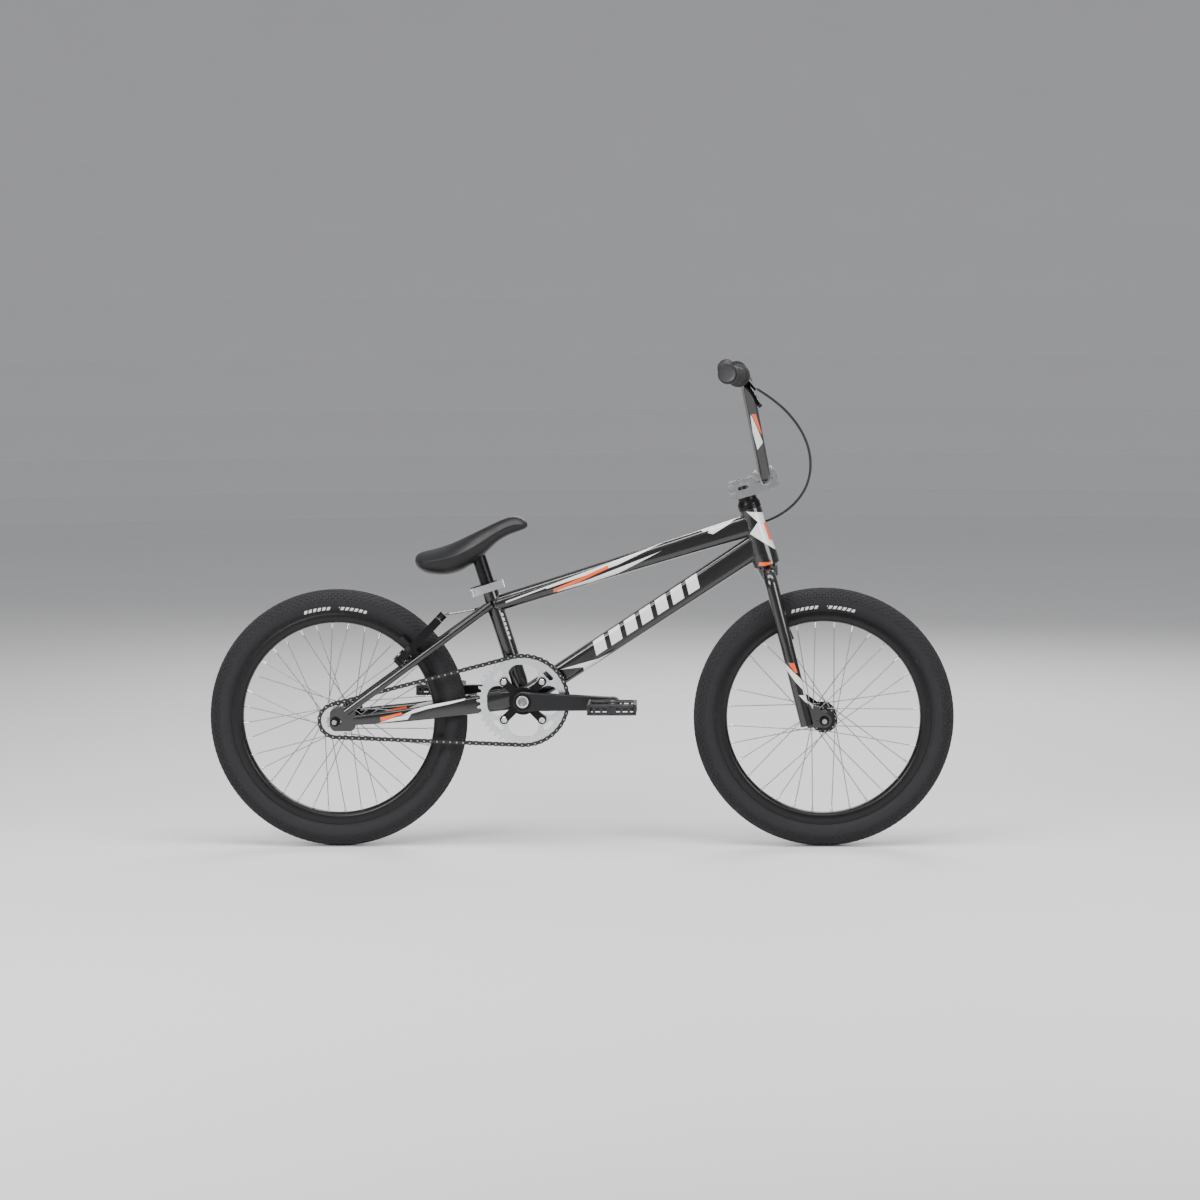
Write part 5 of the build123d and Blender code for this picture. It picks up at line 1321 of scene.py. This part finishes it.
# --- Steering -------------------------------------------------------------------------------
@dataclass
class Steering:
    """The fork, headset, stem, handlebar, grips and the brake lever on the right side."""

    palette: Palette
    bar_half: float = 368.5
    grip_length: float = 130.0
    core_radius: float = 15.0
    rib_radius: float = 16.4
    rib_pitch: float = 4.2
    flange_radius: float = 21.4
    end_ring_radius: float = 18.4
    bar_radius: float = 11.2
    bend_across: float = 152.0
    bar_height: float = 476.7
    stem_reach: float = 44.0
    bar_rise: float = 200.0
    bar_lean: float = 11.0
    backsweep: float = 9.2
    upsweep: float = 2.4
    leg_foot: float = 44.0
    crossbar_share: float = 0.62
    weld_offset: float = 11.6
    weld_radius: float = 7.6
    weld_half_width: float = 2.0
    weld_half_height: float = 1.6

    def bar_end(self, side: int) -> tuple[Vector, Vector]:
        """Return a grip's outer end and the inward direction of its axis."""
        bend = on_steerer(self.bar_height, self.stem_reach)
        bend += Vector((-self.bar_rise * math.tan(math.radians(self.bar_lean)), 0.0, self.bar_rise)) * MM
        run = self.bar_half - self.bend_across
        bend += LEFT * side * self.bend_across * MM
        end = bend + Vector((-run * math.tan(math.radians(self.backsweep)), side * run,
                             run * math.tan(math.radians(self.upsweep)))) * MM
        return end, (bend - end).normalized()

    def grip_outline(self) -> list[tuple[float, float]]:
        """Return the grip's ribbed section, from its outer end inwards."""
        outline = [(self.bar_radius, 0.0), (self.end_ring_radius - 0.6, 0.0), (self.end_ring_radius, 0.6),
                   (self.end_ring_radius, 2.4), (self.end_ring_radius - 0.6, 3.0), (self.core_radius, 3.4)]
        along = 6.0
        while along < self.grip_length - 12.0:
            outline += [(self.core_radius, along), (self.rib_radius, along + 0.6),
                        (self.rib_radius, along + 2.0), (self.core_radius, along + 2.6)]
            along += self.rib_pitch
        end = self.grip_length
        outline += [(self.core_radius, end - 9.0), (self.core_radius + 1.4, end - 5.0),
                    (self.flange_radius - 0.8, end - 4.0), (self.flange_radius, end - 3.2),
                    (self.flange_radius, end - 0.8), (self.flange_radius - 0.8, end),
                    (self.bar_radius, end)]
        return outline

    def build_grips(self) -> None:
        """Build both grips and their end plugs."""
        grips, plugs = bmesh.new(), bmesh.new()
        for side in (-1, 1):
            end, inwards = self.bar_end(side)
            lathe(grips, self.grip_outline(), end, inwards, 48, True)
            lathe(plugs, ((0.0, 2.6), (8.0, 2.8), (13.0, 3.2), (14.6, 3.9), (15.0, 3.0), (15.0, 0.4),
                          (14.4, -1.0), (0.0, -1.0)), end, -inwards, 40)
        finish_piece("grip_pair", grips, self.palette.grip, Body.FORK, ("grips",), sharp=40.0)
        finish_piece("bar_end_plug_pair", plugs, self.palette.plug, Body.FORK, ("bar_end_plugs",))

    def crossbar_beads(self, shape: bmesh.types.BMesh) -> None:
        """Add the welds between the crossbar and the bar's legs."""
        low, high = frame_box("handlebar")
        turns = [2 * math.pi * step / 8 for step in range(8)]
        outline = [(self.weld_radius + self.weld_half_width * math.cos(turn),
                    self.weld_half_height * math.sin(turn)) for turn in turns]
        for side in (-1, 1):
            lower = on_steerer(self.bar_height, self.stem_reach) + LEFT * side * self.leg_foot * MM
            upper = on_steerer(self.bar_height, self.stem_reach) + LEFT * side * self.bend_across * MM
            upper += Vector((-self.bar_rise * math.tan(math.radians(self.bar_lean)), 0, self.bar_rise)) * MM
            leg = (upper - lower).normalized()
            joint = lower.lerp(upper, self.crossbar_share)
            if not low.z < joint.z < high.z:
                LOG.warning("the crossbar's weld is off the handlebar")
            cross = -LEFT * side
            start = joint + cross * self.weld_offset * MM
            tilt = cross - leg * cross.dot(leg) * 0.4
            lathe(shape, outline, start, tilt, 36, True)

    def build(self) -> None:
        """Build the steering's pieces."""
        refine("fork_legs", self.palette.fork, Body.FORK, 0.6)
        refine("fork_crown", self.palette.frame, Body.FORK, 0.6)
        refine("headset_cups", self.palette.black, Body.FRAME, 0.5)
        refine("headset_top_cover", self.palette.black, Body.FORK, 0.6)
        refine("stem_body", self.palette.bright, Body.FORK, 1.2)
        refine("stem_bar_cap", self.palette.bright, Body.FORK, 1.2)
        refine("stem_bolts", self.palette.steel, Body.FORK, 0.5)
        refine("handlebar", self.palette.bar, Body.FORK, 0.3)
        refine("lever_perch", self.palette.black, Body.FORK, 0.8)
        refine("cable_adjuster", self.palette.black, Body.FORK, 0.4)
        refine("brake_lever_blade", self.palette.black, Body.LEVER, 1.1)
        self.build_grips()
        beads = bmesh.new()
        self.crossbar_beads(beads)
        finish_piece("crossbar_welds", beads, self.palette.frame, Body.FORK)


# --- Rear brake -----------------------------------------------------------------------------
@dataclass
class Brake:
    """The rear rim brake and its two runs of cable."""

    palette: Palette
    cable_radius: float = 2.5
    boot_length: float = 34.0
    boot_fold: float = 3.4
    front_route: tuple[tuple[float, float, float], ...] = (
        (368, -148, 878), (398, -126, 853), (423, -102, 822), (439, -78, 791), (447, -54, 759),
        (447, -31, 727), (438, -8, 696), (419, 14, 668), (391, 30, 645), (357, 37, 630), (326, 32, 622),
    )

    def stops(self) -> tuple[Vector, Vector, Vector]:
        """Return the first and last cable guides on the top tube and the run's direction."""
        rear, front = on_seat_tube(191.0), on_steerer(400.0)
        run = front - rear
        first = rear + run * 0.86 + LEFT * (19.0 + self.cable_radius + 0.9) * MM
        last = rear + run * 0.14 + LEFT * (16.5 + self.cable_radius + 0.9) * MM
        return first, last, (first - last).normalized()

    def noodle_points(self) -> tuple[Vector, Vector, Vector]:
        """Return the bent guide pipe's start, corner and end."""
        low, high = frame_box("brake_noodle")
        arm_low, arm_high = frame_box("brake_arm_left")
        start = Vector((low.x + self.cable_radius * MM, arm_high.y, low.z + self.cable_radius * MM))
        corner = start + LEFT * 17.0 * MM
        end = start + Vector((64.0, 1.0, 12.0)) * MM
        return start, corner, end

    def build_cables(self) -> None:
        """Build both outer casings and bend them across their joints."""
        first, last, direction = self.stops()
        adjuster_low, adjuster_high = frame_box("cable_adjuster")
        outwards = -Steering(self.palette).bar_end(-1)[1]
        barrel = adjuster_cap(adjuster_low, adjuster_high, outwards)
        points = [barrel, barrel - outwards * 22.0 * MM]
        points += [Vector(place) * MM for place in self.front_route]
        points += [first + direction * 24.0 * MM, first]
        front = cable_mesh("front_cable_casing", points, self.cable_radius, self.palette.cable,
                           ("front_brake_cable",))
        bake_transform(front)
        noodle_start, corner, end = self.noodle_points()
        away = (end - corner).normalized()
        points = [first, last - direction * 26.0 * MM, last - direction * 60.0 * MM + LEFT * 9.0 * MM,
                  end + away * 20.0 * MM, end]
        rear = cable_mesh("rear_cable_casing", points, self.cable_radius, self.palette.cable,
                          ("rear_brake_cable",))
        tuple(last - direction * 0.03)
        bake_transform(rear)

    def build_boot(self) -> None:
        """Build both outer casings along their routes."""
        start = self.noodle_points()[0]
        inner = frame_box("brake_arm_left")[0].y
        seat = Vector((start.x, inner, start.z))
        outline = [(0.9, 0.0), (3.4, 0.0)]
        along = 1.0
        while along < self.boot_length:
            outline += [(4.6, along + self.boot_fold * 0.5), (3.0, along + self.boot_fold)]
            along += self.boot_fold
        outline += [(2.0, along + 3.0), (0.9, along + 3.0)]
        boot = bmesh.new()
        lathe(boot, outline, seat, -LEFT, 20, True)
        finish_piece("brake_cable_boot", boot, self.palette.pad, Body.ARM_LEFT, sharp=80.0)
        wire = bmesh.new()
        far = -frame_box("brake_arm_right")[1].y
        peg(wire, seat, -LEFT, (inner + far) / MM - 6.5, 0.8, 10)
        finish_piece("brake_inner_wire", wire, self.palette.steel, Body.ARM_LEFT)

    def build(self) -> None:
        """Build the brake's pieces."""
        for side, body in (("right", Body.ARM_RIGHT), ("left", Body.ARM_LEFT)):
            refine(f"brake_arm_{side}", self.palette.black, body, 1.2)
            refine(f"brake_pad_{side}", self.palette.pad, body, 0.7)
        refine("brake_noodle", self.palette.steel, Body.ARM_LEFT, 0.2)
        self.build_cables()
        self.build_boot()


# --- Studio ---------------------------------------------------------------------------------
@dataclass
class Studio:
    """The floor, the lights and the camera."""

    yaw: float = 2.27
    pitch: float = -5.35
    roll: float = 0.37
    eye: tuple[float, float, float] = (0.2645, -5.668, 1.014)
    focal_ratio: float = 2929.0 / 1200.0
    sensor: float = 36.0
    floor_radius: float = 9000.0
    sweep_radius: float = 4000.0
    wall_height: float = 6500.0

    def add_camera(self) -> None:
        """Place the camera square to the drive side and a little above the hubs."""
        yaw, pitch, roll = (math.radians(angle) for angle in (self.yaw, self.pitch, self.roll))
        turn = Matrix.Rotation(yaw, 3, "Z") @ Matrix.Rotation(pitch, 3, "X") @ Matrix.Rotation(roll, 3, "Y")
        right, ahead, up = turn.col[0], turn.col[1], turn.col[2]
        pose = Matrix((right, up, -ahead)).transposed().to_4x4()
        pose.translation = Vector(self.eye)
        lens = bpy.data.cameras.new("camera")
        lens.sensor_width = self.sensor
        lens.lens = self.focal_ratio * self.sensor
        lens.clip_end = 200.0
        camera = bpy.data.objects.new("camera", lens)
        camera.matrix_world = pose
        bpy.context.scene.collection.objects.link(camera)
        bpy.context.scene.camera = camera

    def add_light(self, name: str, place: Sequence[float], target: Sequence[float], power: float,
                  size: tuple[float, float]) -> None:
        """Add one soft rectangular light.

        Args:
            name: The light's name.
            place: Where it stands, in metres.
            target: The point it faces.
            power: Its power in watts.
            size: Its width and height in metres.
        """
        lamp = bpy.data.lights.new(name, "AREA")
        lamp.shape = "RECTANGLE"
        lamp.energy = power
        lamp.size, lamp.size_y = size
        light = bpy.data.objects.new(name, lamp)
        light.location = place
        light.rotation_euler = (Vector(target) - Vector(place)).to_track_quat("-Z", "Y").to_euler()
        bpy.context.scene.collection.objects.link(light)

    def build(self) -> None:
        """Build the studio."""
        floor = bmesh.new()
        turns = [math.radians(7.5 * step) for step in range(13)]
        outline = [(0.0, 0.0), (self.floor_radius, 0.0)]
        outline += [(self.floor_radius + self.sweep_radius * math.sin(turn),
                     self.sweep_radius * (1.0 - math.cos(turn))) for turn in turns[1:]]
        outline.append((self.floor_radius + self.sweep_radius, self.wall_height))
        lathe(floor, outline, Vector(), UP, 96)
        mesh = bpy.data.meshes.new("floor")
        floor.to_mesh(mesh)
        floor.free()
        ground = bpy.data.objects.new("floor", mesh)
        mesh.materials.append(StudioFloor("pale_floor", "", (0.80, 0.80, 0.80)).build())
        bpy.context.scene.collection.objects.link(ground)
        world = bpy.data.worlds.new("studio_air")
        world.use_nodes = True
        world.node_tree.nodes["Background"].inputs["Color"].default_value = (0.96, 0.97, 1.0, 1.0)
        world.node_tree.nodes["Background"].inputs["Strength"].default_value = 0.42
        bpy.context.scene.world = world
        self.add_light("top_light", (0.0, -0.7, 2.7), (0.0, 0.0, 0.4), 80.0, (3.6, 0.8))
        self.add_light("key_light", (-1.9, -2.6, 1.9), (0.0, 0.0, 0.4), 85.0, (1.8, 1.2))
        self.add_light("fill_light", (2.4, -2.0, 1.6), (0.1, 0.0, 0.4), 45.0, (1.4, 1.4))
        self.add_light("rear_light", (0.6, 2.8, 2.4), (0.0, 0.0, 0.4), 70.0, (2.4, 1.2))
        self.add_camera()


def main() -> None:
    """Build the bicycle in order, then the studio."""
    logging.basicConfig(level=logging.INFO, format="%(name)s: %(message)s")
    palette = Palette()
    assemblies = (
        Wheel("front", Body.FRONT_WHEEL, FRONT_AXLE, palette.front_tyre, palette.front_spokes, palette),
        Wheel("rear", Body.REAR_WHEEL, REAR_AXLE, palette.rear_tyre, palette.rear_spokes, palette),
        Drive(palette),
        FrameSet(palette),
        Seat(palette),
        Steering(palette),
        Brake(palette),
        Studio(),
    )
    for assembly in assemblies:
        assembly.build()
        LOG.info("%s is done", type(assembly).__name__)


if __name__ == "__main__":
    main()
